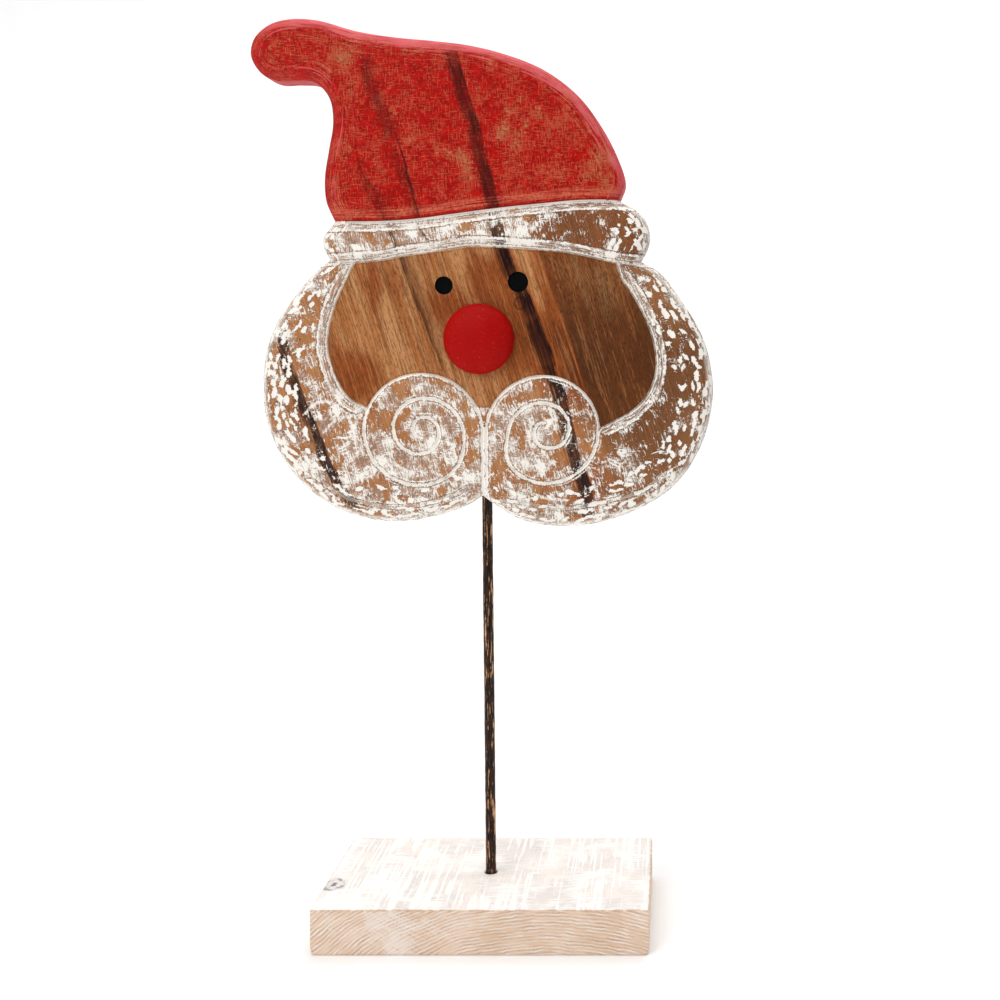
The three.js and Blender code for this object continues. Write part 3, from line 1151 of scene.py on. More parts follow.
def wire(shader, shine, color, rough, height, depth):
    """Feeds a shader. The depth is the full height of its bumps in millimetres."""
    bump = put(tree_of(height), "Bump", {"Height": height, "Distance": depth * MM, "Strength": 1.0})
    shader["Specular IOR Level"].default_value = shine
    send(color, shader["Base Color"])
    send(rough, shader["Roughness"])
    send(bump.outputs[0], shader["Normal"])


print("groups so far:", len(bpy.data.node_groups), "- materials so far:", len(bpy.data.materials))

# %% [markdown]
# ## Brush strokes and broken paint
# Two effects come back in every finish here. Brush strokes are a noise that is stretched along
# the brush. Broken paint is paint that stays in patches with bristly ends: a coarse noise gives
# the patches, the strokes fray their ends, and a sharp step makes it paint or no paint. A painted
# image could show the same, but noise needs no image and never repeats.

# %% Group: brush strokes
STROKE_INPUTS = [
    ("Place", "Vector"), ("Lean", "Float"), ("Length", "Float"), ("Width", "Float"), ("Seed", "Float"),
]
stroke_group, ins, outs = new_group("brush_strokes", STROKE_INPUTS, [("Value", "Float")])
turn_inputs = {"Vector": ins["Place"], "Angle": ins["Lean"]}
turned = put(stroke_group, "VectorRotate", turn_inputs, rotation_type="Y_AXIS").outputs[0]
thin = calc("DIVIDE", 1.0, ins["Width"])
long = calc("DIVIDE", 1.0, ins["Length"])
stretched = vector_calc("MULTIPLY", turned, together(thin, thin, long))
send(noise(vector_calc("ADD", stretched, ins["Seed"]), 1.0, 4.0, 0.6), outs["Value"])


def strokes(place, lean, length, width, seed):
    """Brush strokes over places: upright for a lean of 0, level for a quarter turn."""
    inputs = {"Place": place, "Lean": lean, "Length": length, "Width": width, "Seed": seed}
    return use(stroke_group, inputs)[0]


print("group:", stroke_group.name, "with", len(stroke_group.nodes), "nodes")

# %% Group: broken paint
paint_group, ins, outs = new_group(
    "broken_paint",
    STROKE_INPUTS + [(label, "Float") for label in ("Amount", "Patch", "Soft", "Fray")],
    [("Mask", "Float"), ("Depth", "Float")],
)
stroke = use(stroke_group, {label: ins[label] for label, _ in STROKE_INPUTS})[0]
away = vector_calc("ADD", ins["Place"], ins["Seed"])
patches = noise(away, calc("DIVIDE", 1.0, ins["Patch"]), 4.0, 0.55)
both = scaled(calc("SUBTRACT", stroke, patches), ins["Fray"], patches)
over = calc("SUBTRACT", both, scaled(ins["Amount"], -0.5, 0.75))
send(ease(over, 0.0, ins["Soft"]), outs["Mask"])
send(over, outs["Depth"])


def frayed_film(place, amount, patch, lean, length, width, seed, soft=0.03, fray=0.5):
    """Broken paint: its mask, and how far inside its patches each place lies."""
    inputs = {
        "Place": place, "Amount": amount, "Patch": patch, "Lean": lean, "Length": length,
        "Width": width, "Seed": seed, "Soft": soft, "Fray": fray,
    }
    return tuple(use(paint_group, inputs))


def broken_paint(*settings):
    return frayed_film(*settings)[0]


print("group:", paint_group.name, "with", len(paint_group.nodes), "nodes")

# %% [markdown]
# ## The wood
# The board is a tropical hardwood with a slanting grain and a few nearly black streaks, which
# show through the red paint and the white. A Wave texture could give streaks, but each of these
# has a place of its own, so each follows a Float Curve that gives its place across for every
# height. One side of it is sharp and the other fades out, as a growth ring does.

# %% Where the streaks run
GRAIN_LEAN = math.radians(17)
WOOD_LOW, WOOD_HIGH = 170.0, 400.0
WOOD_LEFT, WOOD_RIGHT = -100.0, 60.0
MAIN_WAY = [
    (-9.9, 381), (-6.5, 368), (-4.4, 360.6), (-1.5, 354.4), (0.3, 350.5), (0.2, 348.8),
    (0.8, 343.2), (3.5, 332.9), (6.2, 319.7), (8.9, 307.9), (10.9, 298.7), (14, 290.1),
    (18.4, 281.5), (22.3, 273.3), (25.8, 262.7), (29.6, 252.2), (31.1, 244.7), (35, 237.9),
    (36.2, 229.8), (38.3, 221.3), (42.1, 206.3), (46.3, 194.3), (47.5, 184),
]
SECOND_LOW_WAY = [
    (-35.9, 345), (-34.2, 340.3), (-32.6, 334.4), (-31.6, 329.5), (-30, 325.2),
    (-28.3, 318.7), (-26.8, 313),
]
LEFT_WAY = [
    (-48.5, 327.5), (-45.6, 322.5), (-42.6, 314.2), (-40.4, 309.2), (-38.4, 302.9),
    (-34.5, 293.3), (-31.5, 283.8), (-27.4, 273.3), (-23.3, 262.7), (-20.3, 254.3), (-17.7, 247.9),
]
BEARD_WAY = [
    (-84.8, 263.8), (-82.6, 246.9), (-79.8, 238.4), (-76.1, 229.8), (-72.5, 221.3),
    (-70.1, 214.5), (-68.1, 207.6), (-64.3, 200.7), (-59.8, 193.9), (-55.6, 187.8),
]
# Each streak: its way (across, height), core width, soft width on its left and right, strength.
STREAKS = {
    "main": (MAIN_WAY, 4.0, 3.2, 0.7, 1.0),
    "second_top": ([(-48.2, 378.2), (-46.9, 369.3), (-42.2, 358.4), (-38.2, 346)], 1.5, 3.0, 4.5, 0.6),
    "second_low": (SECOND_LOW_WAY, 0.5, 1.0, 0.5, 0.95),
    "second_soft": ([(-37, 342), (-33.2, 330), (-29.5, 319), (-27, 311)], 1.2, 2.4, 0.6, 0.45),
    "second_side": ([(-38.7, 336.2), (-36.5, 332.8), (-33.8, 325.2)], 0.3, 0.8, 0.8, 0.5),
    "second_knot": ([(-30.6, 325.6), (-29.8, 322)], 1.6, 1.6, 1.6, 0.55),
    "second_brim": ([(-27.4, 310), (-25.4, 306), (-22.8, 302.5)], 0.8, 1.2, 0.8, 0.7),
    "third": ([(-51.7, 335), (-49.4, 325.2), (-46.5, 319.6), (-43.6, 313)], 0.8, 2.0, 1.6, 0.5),
    "left": (LEFT_WAY, 0.7, 0.8, 1.6, 0.7),
    "left_haze": ([(-45.6, 322.5), (-34.5, 293.3), (-27.4, 273.3), (-20.3, 254.3)], 0.5, 0.8, 9.0, 0.4),
    "beard_left": (BEARD_WAY, 3.4, 1.4, 1.2, 1.05),
    "beard_haze": ([(-81, 244), (-77, 229.8), (-71, 214.5)], 3.0, 2.5, 1.0, 0.6),
}
# Thin orange lines run along the sharp side of the main streak and of the darker right side.
DARKER_SIDE_WAY = [(21.9, 301.6), (25.0, 291.6), (31.8, 272.7), (38.3, 254.2), (44.9, 233.1), (50.6, 214.9)]
GLOWS = (
    ([(x + 1.3, z) for x, z in MAIN_WAY], 0.2, 0.5, 0.8, 0.5),
    (DARKER_SIDE_WAY, 0.3, 0.6, 0.8, 0.25),
)
print(len(STREAKS), "dark streaks and", len(GLOWS), "orange lines")

# %% Group: streaky wood, its streaks
wood_group, ins, outs = new_group(
    "streaky_wood", [("Place", "Vector")], [("Color", "Color"), ("Dark", "Float"), ("Grain", "Float")]
)
wood_place = ins["Place"]
across, _, height = apart(wood_place)


def off_way(wobble, way):
    """How far across each place lies from a way that is given as a Float Curve."""
    limits = {"Value": height, "From Min": WOOD_LOW, "From Max": WOOD_HIGH}
    curve = put(wood_group, "FloatCurve", {"Value": put(wood_group, "MapRange", limits).outputs[0]})
    points = curve.mapping.curves[0].points
    spots = sorted(
        ((z - WOOD_LOW) / (WOOD_HIGH - WOOD_LOW), (x - WOOD_LEFT) / (WOOD_RIGHT - WOOD_LEFT))
        for x, z in way
    )
    for point, spot in zip(list(points), (spots[0], spots[-1])):
        point.location = spot
    for spot in spots[1:-1]:
        points.new(*spot)
    curve.mapping.update()
    middle = scaled(curve.outputs[0], WOOD_RIGHT - WOOD_LEFT, WOOD_LEFT)
    return calc("ADD", calc("SUBTRACT", across, middle), wobble)


def streak(wobble, way, core, soft_left, soft_right, strength):
    """How dark a streak makes each place."""
    off = off_way(wobble, way)
    lowest, highest = min(z for _, z in way), max(z for _, z in way)
    ends = times(ease(height, lowest - 6, lowest + 3), fade(height, highest - 3, highest + 6))
    return times(ease(off, -core - soft_left, -core), fade(off, 0.0, soft_right), strength, ends)


def grain(length, width, seed):
    return strokes(wood_place, GRAIN_LEAN, length, width, seed)


tremble = scaled(noise(wood_place, 0.4, 2.0), 1.0, -1.3)
wobble = scaled(noise(wood_place, 0.06, 2.0), 1.6, tremble)
fine = grain(22, 0.7, 8)
frayed_wobble = calc("ADD", wobble, scaled(fine, 5.0, -2.5))
dark = most(*(streak(frayed_wobble, *kind) for kind in STREAKS.values()))
slight = times(wobble, 0.3)
glow = most(*(streak(slight, *kind) for kind in GLOWS))
print("group:", wood_group.name, "has", len(wood_group.nodes), "nodes with its streaks")

# %% Group: streaky wood, its ground colours
WARM_WOOD, GOLDEN_WOOD = tone(176, 110, 62), tone(202, 144, 95)
RED_WOOD, DEEP_WOOD, BROWN_WOOD = tone(150, 76, 33), tone(88, 36, 12), tone(82, 48, 24)

broad = grain(60, 4, 3)
mottled = scaled(grain(30, 9, 21), 0.7, scaled(values_at(wood_group, "shade")[0], 0.6, 0.15))
ground = mix(ease(broad, 0.36, 0.64), WARM_WOOD, GOLDEN_WOOD)
ground = mix(ease(mottled, 0.48, 0.66, 0.0, 0.95), ground, RED_WOOD)
ground = mix(ease(mottled, 0.7, 0.95, 0.0, 0.95), ground, DEEP_WOOD)
right_side = times(
    ease(off_way(slight, DARKER_SIDE_WAY), -1, 3, 0.0, 0.8),
    ease(broad, 0.3, 0.6, 0.85, 1.05),
    ease(height, 264, 296, 1.0, 0.55),
)
ground = mix(right_side, ground, BROWN_WOOD)
print("ground colours: warm, golden, red, deep and brown")

# %% Group: streaky wood, its fibres and pores
FIBRE_LINE, FIBRE_GLINT = tone(104, 58, 28), tone(206, 142, 90)
PORE, LONG_PORE, KNOT_RING = tone(62, 36, 20), tone(80, 44, 24), tone(60, 36, 24)
EYE_KNOT = (16, 0, 275.4)
EYE_KNOT_RADIUS = 2.6

pores = grain(2.4, 0.42, 14)
fibres = mix(ease(fine, 0.51, 0.57, 0.0, 0.42), ground, FIBRE_LINE)
glints = times(fade(fine, 0.38, 0.45), ease(right_side, 0, 0.6, 0.34, 0.24))
fibres = mix(glints, fibres, FIBRE_GLINT)
pore_share = times(ease(pores, 0.53, 0.57), ease(right_side, 0, 0.5, 0.45, 0.7))
pored = mix(pore_share, fibres, PORE)
pored = mix(ease(grain(10, 0.5, 15), 0.56, 0.64, 0.0, 0.3), pored, LONG_PORE)
from_knot = vector_calc("DISTANCE", together(across, 0.0, height), EYE_KNOT, "Value")
pored = mix(band(from_knot, EYE_KNOT_RADIUS, 0.2, 0.8, 0.55), pored, KNOT_RING)
print("fibres, pores and the ring of a small knot under the right eye")

# %% Group: streaky wood, put together
GLOW, STREAK = tone(214, 112, 52), tone(36, 13, 12)

glowing = mix(times(glow, ease(fine, 0.35, 0.6, 1.0, 0.4)), pored, GLOW)
ragged = times(
    dark,
    ease(noise(wood_place, 0.15, 3.0), 0.36, 0.56, 0.84, 1.05),
    ease(grain(12, 1.3, 33), 0.4, 0.52, 0.76, 1.0),
)
send(mix(ragged, glowing, STREAK), outs["Color"])
send(ragged, outs["Dark"])
send(calc("SUBTRACT", 1.0, scaled(fine, 0.6, times(pores, 0.4))), outs["Grain"])
print("group:", wood_group.name, "with", len(wood_group.nodes), "nodes")

# %% [markdown]
# ## Paint in and beside the cuts
# When the board was whitewashed, thick paint ran into the bottom of every V and stayed on the
# crest of the wide ones. Dark hairlines beside the white and a dark line along the bottom of the
# V are painted shade in the creases. The mesh knows how far each point is off the next cut, so
# the lines can follow the cuts exactly. Painting them by hand on a texture would need an image.

# %% White lines of the cuts, and dark lines of painted shade


def cut_paint(tree, place):
    """White run into the nearest cut, in lines along it, and dark lines of painted shade beside the white
    and along the bottom.
    """
    off, along_cut, flank = values_at(tree, "off_cut", "along_cut", "flank")
    beside = together(off, 0.0, along_cut)
    rough = calc("ADD", noise(place, 0.4, 3.0), noise(place, 1.6, 2.0))
    shifted = scaled(rough, 1.5, calc("SUBTRACT", off, 1.5))
    lines = strokes(beside, 0.0, 8, 0.5, 12)
    full = ease(flank, 0.92, 1.05, 0.3, 1.0)
    wide = ease(flank, 2.0, 2.5)
    to_crest = calc("SUBTRACT", shifted, flank)
    bottom = times(fade(shifted, 0.68, 0.82), ease(lines, 0.34, 0.44, 0.6, 1.0), full)
    twin = times(band(shifted, 1.55, 0.15, 0.35), ease(noise(place, 0.15, 3.0), 0.5, 0.56))
    gaps = ease(noise(place, 0.22, 3.0), 0.38, 0.52, 0.3, 1.0)
    crest = times(band(to_crest, 0.0, 0.4, 0.6), wide, gaps)
    between = times(fade(to_crest, -0.3, 0.1), ease(lines, 0.5, 0.57, 0.1, 0.9), wide)
    split = ease(strokes(beside, 0.0, 14, 3, 40), 0.44, 0.54)
    # Painted shade: a dark line along the bottom of the V.
    crease = times(fade(off, 0.1, 0.32, 0.85), full, split, ease(flank, 1.12, 1.2, 0.3, 1.0))
    past_crest = times(band(to_crest, 0.85, 0.15, 0.4), wide)
    # Painted shade: dark hairlines where the flanks of the V meet the surface.
    shade_hairlines = times(most(band(shifted, 1.02, 0.08, 0.3), past_crest), ease(lines, 0.42, 0.54))
    return most(bottom, twin, crest, between), most(shade_hairlines, crease)


def board_material(name):
    """A material of the board: itself, its tree, shader, place and wood."""
    made, tree, shader = new_material(name)
    place = place_in_mm(tree)
    return made, tree, shader, place, use(wood_group, {"Place": place})


print("attributes of the board:", ", ".join(board.data.attributes.keys()))

# %% [markdown]
# ## Whitewash
# Brim and beard are whitewashed. A milky film lets the wood through, a nearly dry brush left
# crossing strokes on it, dabs sit in the scoops of the gouge, lines run round the rim and along
# the cuts, and a few single strokes stand out. The layers could be shaders that are mixed, but
# here each is a mask and the masks meet in one shader, which is easier to bake and to reuse.

# %% Whitewash: the film
BLEACHED, FILM = tone(188, 130, 82), tone(228, 205, 190)

whitewash, tree, shader, place, wood = board_material("whitewash_on_wood")
scoop, inward, run, wash = values_at(tree, "scoop", "inward", "run", "wash")
off_cut, along_cut, shade, off_stroke = values_at(tree, "off_cut", "along_cut", "shade", "off_stroke")
dark = wood["Dark"]
clear = ease(dark, 0.15, 0.5, 1.0, 0.05)
bleached = mix(times(ease(shade, 0.0, 0.3, 0.45, 0.15), clear), wood["Color"], BLEACHED)
film_amount = scaled(shade, -0.3, scaled(wash, 0.6, 0.22))
film, film_depth = frayed_film(place, film_amount, 10, GRAIN_LEAN, 4, 0.7, 31, 0.02, 0.28)
filmed = mix(times(film, ease(shade, 0.0, 0.15, 0.38, 0.03), clear), bleached, FILM)
film_rim = times(
    ease(film_depth, 0.0, 0.006),
    fade(film_depth, 0.018, 0.04),
    ease(noise(place, 0.3, 3.0), 0.48, 0.56),
    clear,
)
print("the film and its thicker rim:", len(tree.nodes), "nodes")

# %% Whitewash: strokes of a nearly dry brush
upright = strokes(place, math.radians(15), 5, 0.5, 5)
level = strokes(place, math.radians(84), 3, 0.55, 7)
around = strokes(together(off_cut, 0.0, along_cut), math.radians(90), 3.2, 0.55, 6)
thick = scaled(wash, 0.16, noise(place, 0.16, 3.0))
hatch = most(upright, calc("SUBTRACT", level, 0.03), around)
hatch = calc("ADD", hatch, scaled(thick, 0.5, -0.3))
hatch = scaled(dark, -0.05, hatch)
hatching = most(times(ease(hatch, 0.53, 0.565), film), ease(hatch, 0.62, 0.64))
gaps = times(fade(hatch, 0.45, 0.5, 0.6), film, clear)
from_stroke = scaled(noise(place, 0.9, 3.0), 1.6, calc("ADD", off_stroke, -0.8))
single = times(fade(from_stroke, 0.5, 0.8, 0.9), ease(upright, 0.42, 0.5, 0.3, 1.0))
specks = broken_paint(place, scaled(wash, 0.25, 0.14), 2.4, GRAIN_LEAN, 1.6, 0.8, 93, 0.02)
brushed = most(hatching, film_rim, single, specks)
print("the strokes:", len(tree.nodes), "nodes")

# %% Whitewash: dabs in the scoops and lines round the rim
# On the back the way in is below zero, and both paints lose the marks of their edge there.
BACK_BARE, BACK_RIM = -22, -18

round_edge = together(inward, 0.0, run)
bristles = strokes(round_edge, 0.0, 3, 0.5, 71)
dab_field = scaled(noise(place, 1.0, 4.0, 0.6), 1.5, scaled(bristles, 1.1, scoop))
dabs = ease(dab_field, 1.68, 1.76)
# Painted shade: a dark ring round each dab, where the hollow of the scoop lies in shade.
dab_shade = times(ease(dab_field, 1.46, 1.6), fade(dab_field, 1.66, 1.72), ease(scoop, 0.02, 0.2))
rim = times(
    fade(inward, 3.6, 6.4),
    ease(strokes(round_edge, 0.0, 11, 0.7, 18), 0.42, 0.52, 0.25, 0.95),
    ease(wash, 0.1, 0.4, 0.4, 1.0),
    ease(inward, BACK_BARE, BACK_RIM),
)
print("dabs and rim:", len(tree.nodes), "nodes")

# %% Whitewash: all layers together
DRY_GAP, WHITE, SHADE_BROWN = tone(112, 80, 60), tone(255, 249, 240), tone(84, 58, 42)

core, cut_shade = cut_paint(tree, place)
white = most(times(most(brushed, dabs, rim), ease(cut_shade, 0, 1, 1, 0.2)), core)
painted = mix(white, mix(gaps, filmed, DRY_GAP), WHITE)
# Painted shade: dark lines in the creases of the cuts and round the dabs.
lined = mix(most(times(cut_shade, 0.65), times(dab_shade, 0.6)), painted, SHADE_BROWN)
wire(shader, 0.2, lined, ease(white, 0, 1, 0.5, 0.7), scaled(wood["Grain"], 0.35, white), 0.12)
print("material:", whitewash.name, "with", len(tree.nodes), "nodes")

# %% [markdown]
# ## Red paint
# The hat has one thin coat of red, brushed crosswise. It was rubbed through afterwards: at the
# worn spots, along the edge and beside the lines the wood shows in fine scratches, and the
# rounded edge has turned chalky. Where the rounded edge faces up, its pale colour is also a
# painted highlight, and a dark red line beside the hat's cut is painted shade. The coat is woven
# from two sets of strokes, and every scratch is broken paint turned round: a mask of where the
# paint is gone.

# %% Red paint: a coat woven from brush strokes
DARK_RED, BRIGHT_RED = tone(158, 8, 4), tone(186, 14, 8)
THIN_RED, THICK_RED, STREAK_RED = tone(194, 86, 60), tone(120, 8, 8), tone(40, 12, 8)

red_paint, tree, shader, place, wood = board_material("red_paint_on_wood")
inward, run, worn, off_cut, along_cut = values_at(tree, "inward", "run", "worn", "off_cut", "along_cut")
coat = mix(ease(noise(place, 0.3, 3.0), 0.35, 0.65), DARK_RED, BRIGHT_RED)
weave_level = strokes(place, math.radians(91), 3.4, 0.5, 61)
weave_upright = strokes(place, math.radians(3), 3.4, 0.5, 62)
thinner = scaled(worn, 0.08, scaled(noise(place, 0.12, 3.0), 0.3, -0.15))
weave = calc("ADD", most(weave_level, weave_upright), thinner)
coat = mix(ease(weave, 0.565, 0.6, 0.0, 0.7), coat, THIN_RED)
coat = mix(fade(calc("MINIMUM", weave_level, weave_upright), 0.37, 0.41, 0.5), coat, THICK_RED)
coat = mix(times(wood["Dark"], 0.82), coat, STREAK_RED)
print("the coat:", len(tree.nodes), "nodes")

# %% Red paint: rubbed through to the wood
PINK_WORN, WOOD_WORN = tone(212, 112, 86), tone(178, 124, 78)

round_edge = together(inward, 0.0, run)
on_front = ease(inward, EDGE_ARC - 1, EDGE_ARC, 0.1, 1.0)
wear = scaled(worn, 0.26, 0.28)
level = broken_paint(place, wear, 6, math.radians(92), 3, 0.55, 11, 0.04, 0.8)
upright = broken_paint(place, wear, 6, math.radians(4), 3, 0.55, 23, 0.04, 0.8)
contour = times(
    broken_paint(round_edge, 0.45, 7, 0.0, 18, 0.55, 37, 0.04, 0.75),
    ease(inward, 3, 5),
    fade(inward, 10, 15),
    ease(noise(place, 0.055, 2.0), 0.44, 0.54, 0.1, 1.0),
)
by_line = times(
    broken_paint(together(off_cut, 0.0, along_cut), 0.58, 6, 0.0, 20, 0.5, 19, 0.05, 0.85),
    ease(off_cut, 1.6, 2.2),
    fade(off_cut, 4.5, 6.5),
)
scratches = most(times(most(level, upright), on_front), contour, by_line)
bare = times(
    scratches,
    ease(wood["Dark"], 0.2, 0.8, 1.0, 0.3),
    ease(noise(place, 0.8, 3.0), 0.4, 0.6, 0.35, 0.9),
)
scratched = mix(bare, coat, mix(worn, PINK_WORN, WOOD_WORN))
print("the scratches:", len(tree.nodes), "nodes")

# %% Red paint: lines with painted shade, and a chalky edge with a painted highlight
SHADED_RED, LINE_WHITE, CHALK_AND_HIGHLIGHT = tone(104, 8, 14), tone(240, 232, 224), tone(226, 108, 114)

# Painted shade: a dark red line along the hat's cut, where its upper wall faces away from the light.
lined = mix(times(fade(off_cut, 0.7, 1.2, 0.6), on_front), scratched, SHADED_RED)
lined = mix(fade(off_cut, 0.3, 0.6), lined, LINE_WHITE)
normal_x, _, normal_z = apart(put(tree, "NewGeometry").outputs["Normal"])
# Painted highlight: the chalky edge is lighter where it faces up and to the right, towards the light above.
facing_light = ease(scaled(normal_x, 0.8, normal_z), -0.1, 0.5, 0.12, 1.0)
edge_lines = strokes(round_edge, 0.0, 14, 1.1, 9)
highlight_band_end = scaled(noise(place, 0.05, 2.0), -6.0, inward)
chalk_and_highlight = times(
    fade(highlight_band_end, EDGE_ARC - 4.8, EDGE_ARC - 3.8), ease(edge_lines, 0.35, 0.6, 0.2, 0.75), facing_light
)
worn_arris = times(band(inward, EDGE_ARC, 0.1, 0.6, 0.6), ease(edge_lines, 0.46, 0.58))
outer_line = times(fade(inward, 1.0, 2.0, 0.6), ease(edge_lines, 0.45, 0.6))
chalk_and_highlight = times(most(chalk_and_highlight, worn_arris, outer_line), ease(inward, BACK_BARE, BACK_RIM))
relief = scaled(wood["Grain"], 0.4, calc("SUBTRACT", 1.0, bare))
wire(shader, 0.08, mix(chalk_and_highlight, lined, CHALK_AND_HIGHLIGHT), ease(bare, 0, 1, 0.5, 0.65), relief, 0.06)
print("material:", red_paint.name, "with", len(tree.nodes), "nodes")

# %% [markdown]
# ## Varnish and small paints
# The face is bare wood under satin varnish, with some white smeared beside the cuts and dark
# lines of painted shade in their creases. The eyes are thick black paint, and the nose is matte
# red paint with faint brush marks and pale specks that are painted highlights.

# %% Varnished wood
SMEARED, FACE_SHADE = tone(226, 214, 200), tone(78, 50, 34)

varnished, tree, shader, place, wood = board_material("varnished_face_wood")
core, cut_shade = cut_paint(tree, place)
near_cut = fade(values_at(tree, "off_cut")[0], 0.5, 0.75, 0.85)
rubbed = mix(times(core, near_cut), wood["Color"], SMEARED)
# Painted shade: dark lines in the creases of the cuts round the face.
edged = mix(times(cut_shade, 0.5), rubbed, FACE_SHADE)
wire(shader, 0.08, edged, ease(wood["Grain"], 0.3, 0.7, 0.5, 0.36), wood["Grain"], 0.1)
print("material:", varnished.name, "with", len(tree.nodes), "nodes")

# %% Black eyes and red nose
eye_black, tree, shader = new_material("black_eye_paint")
skin = noise(place_in_mm(tree), 0.8, 3.0)
wire(shader, 0.05, mix(skin, tone(2, 4, 4), tone(8, 10, 9)), ease(skin, 0.3, 0.7, 0.35, 0.6), skin, 0.15)

NOSE_DARK, NOSE_BRIGHT = tone(158, 2, 0), tone(178, 6, 2)
NOSE_STROKE, NOSE_SPECK_HIGHLIGHT = tone(196, 34, 24), tone(236, 150, 140)

nose_red, tree, shader = new_material("red_nose_paint")
place = place_in_mm(tree)
brushed = strokes(place, math.radians(70), 7, 0.6, 4)
streaky_red = mix(noise(place, 0.12, 2.0), NOSE_DARK, NOSE_BRIGHT)
streaky_red = mix(ease(brushed, 0.52, 0.66, 0.0, 0.4), streaky_red, NOSE_STROKE)
# Pale specks: painted highlights of tiny glossy bumps in the paint.
specked_red = mix(ease(noise(place, 1.4, 2.0), 0.72, 0.78, 0.0, 0.6), streaky_red, NOSE_SPECK_HIGHLIGHT)
wire(shader, 0.1, specked_red, ease(brushed, 0.3, 0.7, 0.5, 0.66), brushed, 0.08)
print("materials:", eye_black.name, "and", nose_red.name)

# %% [markdown]
# ## The bronze finish of the rod
# The rod is lacquered nearly black, and copper-coloured metal shows through in long flecks. Only
# the flecks are metallic, so the mask of the flecks drives that as well.

# %% Antique bronze
LACQUER_DARK, LACQUER_BROWN, COPPER = tone(8, 5, 4), tone(56, 34, 22), tone(220, 166, 120)

bronze, tree, shader = new_material("antique_bronze")
place = place_in_mm(tree)
flecks = broken_paint(place, 0.4, 2.2, 0.0, 9, 0.6, 6, 0.05, 0.8)
pits = strokes(place, 0.0, 5, 0.8, 15)
lacquer = mix(ease(pits, 0.42, 0.58), LACQUER_DARK, LACQUER_BROWN)
flecked = mix(flecks, lacquer, COPPER)
wire(shader, 0.3, flecked, ease(pits, 0.3, 0.7, 0.36, 0.6), calc("ADD", pits, flecks), 0.12)
send(ease(flecks, 0, 1, 0.35, 0.85), shader["Metallic"])
print("material:", bronze.name, "with", len(tree.nodes), "nodes")

# %% [markdown]
# ## The whitewashed block
# The block is pale softwood. Its front and back faces are end grain, so they show growth rings
# round a heart below the table, and its top shows the fibres lengthwise. The white was brushed
# both ways on the top and wiped thin on the sides, its arrises are rubbed, and a knot sits near
# the left edge. Rings could be a Wave texture; here they are the sine of the distance from the
# heart, which lets noise bend them.

# %% Block: the wood
SIDE_PALE, SIDE_WARM = tone(238, 210, 186), tone(226, 194, 166)
TOP_PALE, TOP_GREY = tone(240, 220, 204), tone(226, 214, 206)
FIBRE, LATE_RING = tone(200, 178, 166), tone(190, 144, 110)
RING_HEART = (30.0, 0.0, -110.0)
RING_GAP = 1.5

limed, tree, shader = new_material("whitewashed_base_wood")
place = place_in_mm(tree)
x, y, z = apart(place)
facing = apart(put(tree, "NewGeometry").outputs["Normal"])
upward = ease(facing[2], 0.5, 0.8)
endwise = ease(calc("ABSOLUTE", facing[1]), 0.5, 0.8)
level_place = together(y, 0.0, x)
fibre_lines = strokes(level_place, 0.0, 12, 0.7, 2)
clouds = noise(place, 0.05, 3.0)
side_wood = mix(ease(clouds, 0.35, 0.65), SIDE_PALE, SIDE_WARM)
top_wood = mix(ease(clouds, 0.4, 0.6), TOP_PALE, TOP_GREY)
block_wood = mix(upward, side_wood, top_wood)
block_wood = mix(times(ease(fibre_lines, 0.5, 0.6, 0.0, 0.45), upward), block_wood, FIBRE)
heart = vector_calc("DISTANCE", together(x, 0.0, z), RING_HEART, "Value")
swirl = scaled(noise(place, 0.03, 1.0), 6.0, heart)
swirl = scaled(noise(place, 0.25, 2.0), 1.2, swirl)
rings = calc("SINE", times(swirl, 2 * math.pi / RING_GAP))
ring_share = times(endwise, ease(strokes(together(swirl, 0.0, x), 0.0, 9, 1.2, 8), 0.4, 0.6))
block_wood = mix(times(ease(rings, -0.9, -0.2, 0.7, 0.0), ring_share), block_wood, LATE_RING)
print("the block's wood:", len(tree.nodes), "nodes")

# %% Block: the white
LIME, RUBBED_WOOD = tone(254, 250, 246), tone(204, 162, 122)
# An arris is where two faces meet, so there the way from the middle and the height add up to most.
END_ARRIS = BASE_HIGH[1] + BASE_HIGH[2] - 1.4
LONG_ARRIS = BASE_HIGH[0] + BASE_HIGH[2] - 1.4

across_paint = broken_paint(together(x, 0.0, y), 0.55, 26, 0.0, 60, 1.6, 41, 0.05, 0.7)
along_paint = broken_paint(level_place, 0.55, 22, 0.0, 14, 0.8, 66, 0.06, 0.5)
top_paint = times(upward, most(across_paint, along_paint))
saw_marks = broken_paint(place, 0.5, 16, math.radians(58), 9, 0.6, 12, 0.08, 0.5)
side_paint = times(fade(upward, 0, 1, 0.6), saw_marks, ease(x, -40, 0, 0.9, 0.2))
limewash = most(top_paint, times(ease(rings, 0.1, 0.7), ring_share), side_paint)
haze = times(upward, ease(clouds, 0.35, 0.65, 0.6, 0.3))
limed_wood = mix(most(haze, times(limewash, 0.85)), block_wood, LIME)
end_arris = ease(calc("ADD", calc("ABSOLUTE", y), z), END_ARRIS, END_ARRIS + 0.5)
long_arris = ease(calc("ADD", calc("ABSOLUTE", x), z), LONG_ARRIS, LONG_ARRIS + 0.5)
rubbed = times(most(end_arris, long_arris), ease(noise(place, 0.25, 3.0), 0.4, 0.55, 0.1, 0.75))
limed_wood = mix(rubbed, limed_wood, RUBBED_WOOD)
print("white and rubbed arrises:", len(tree.nodes), "nodes")

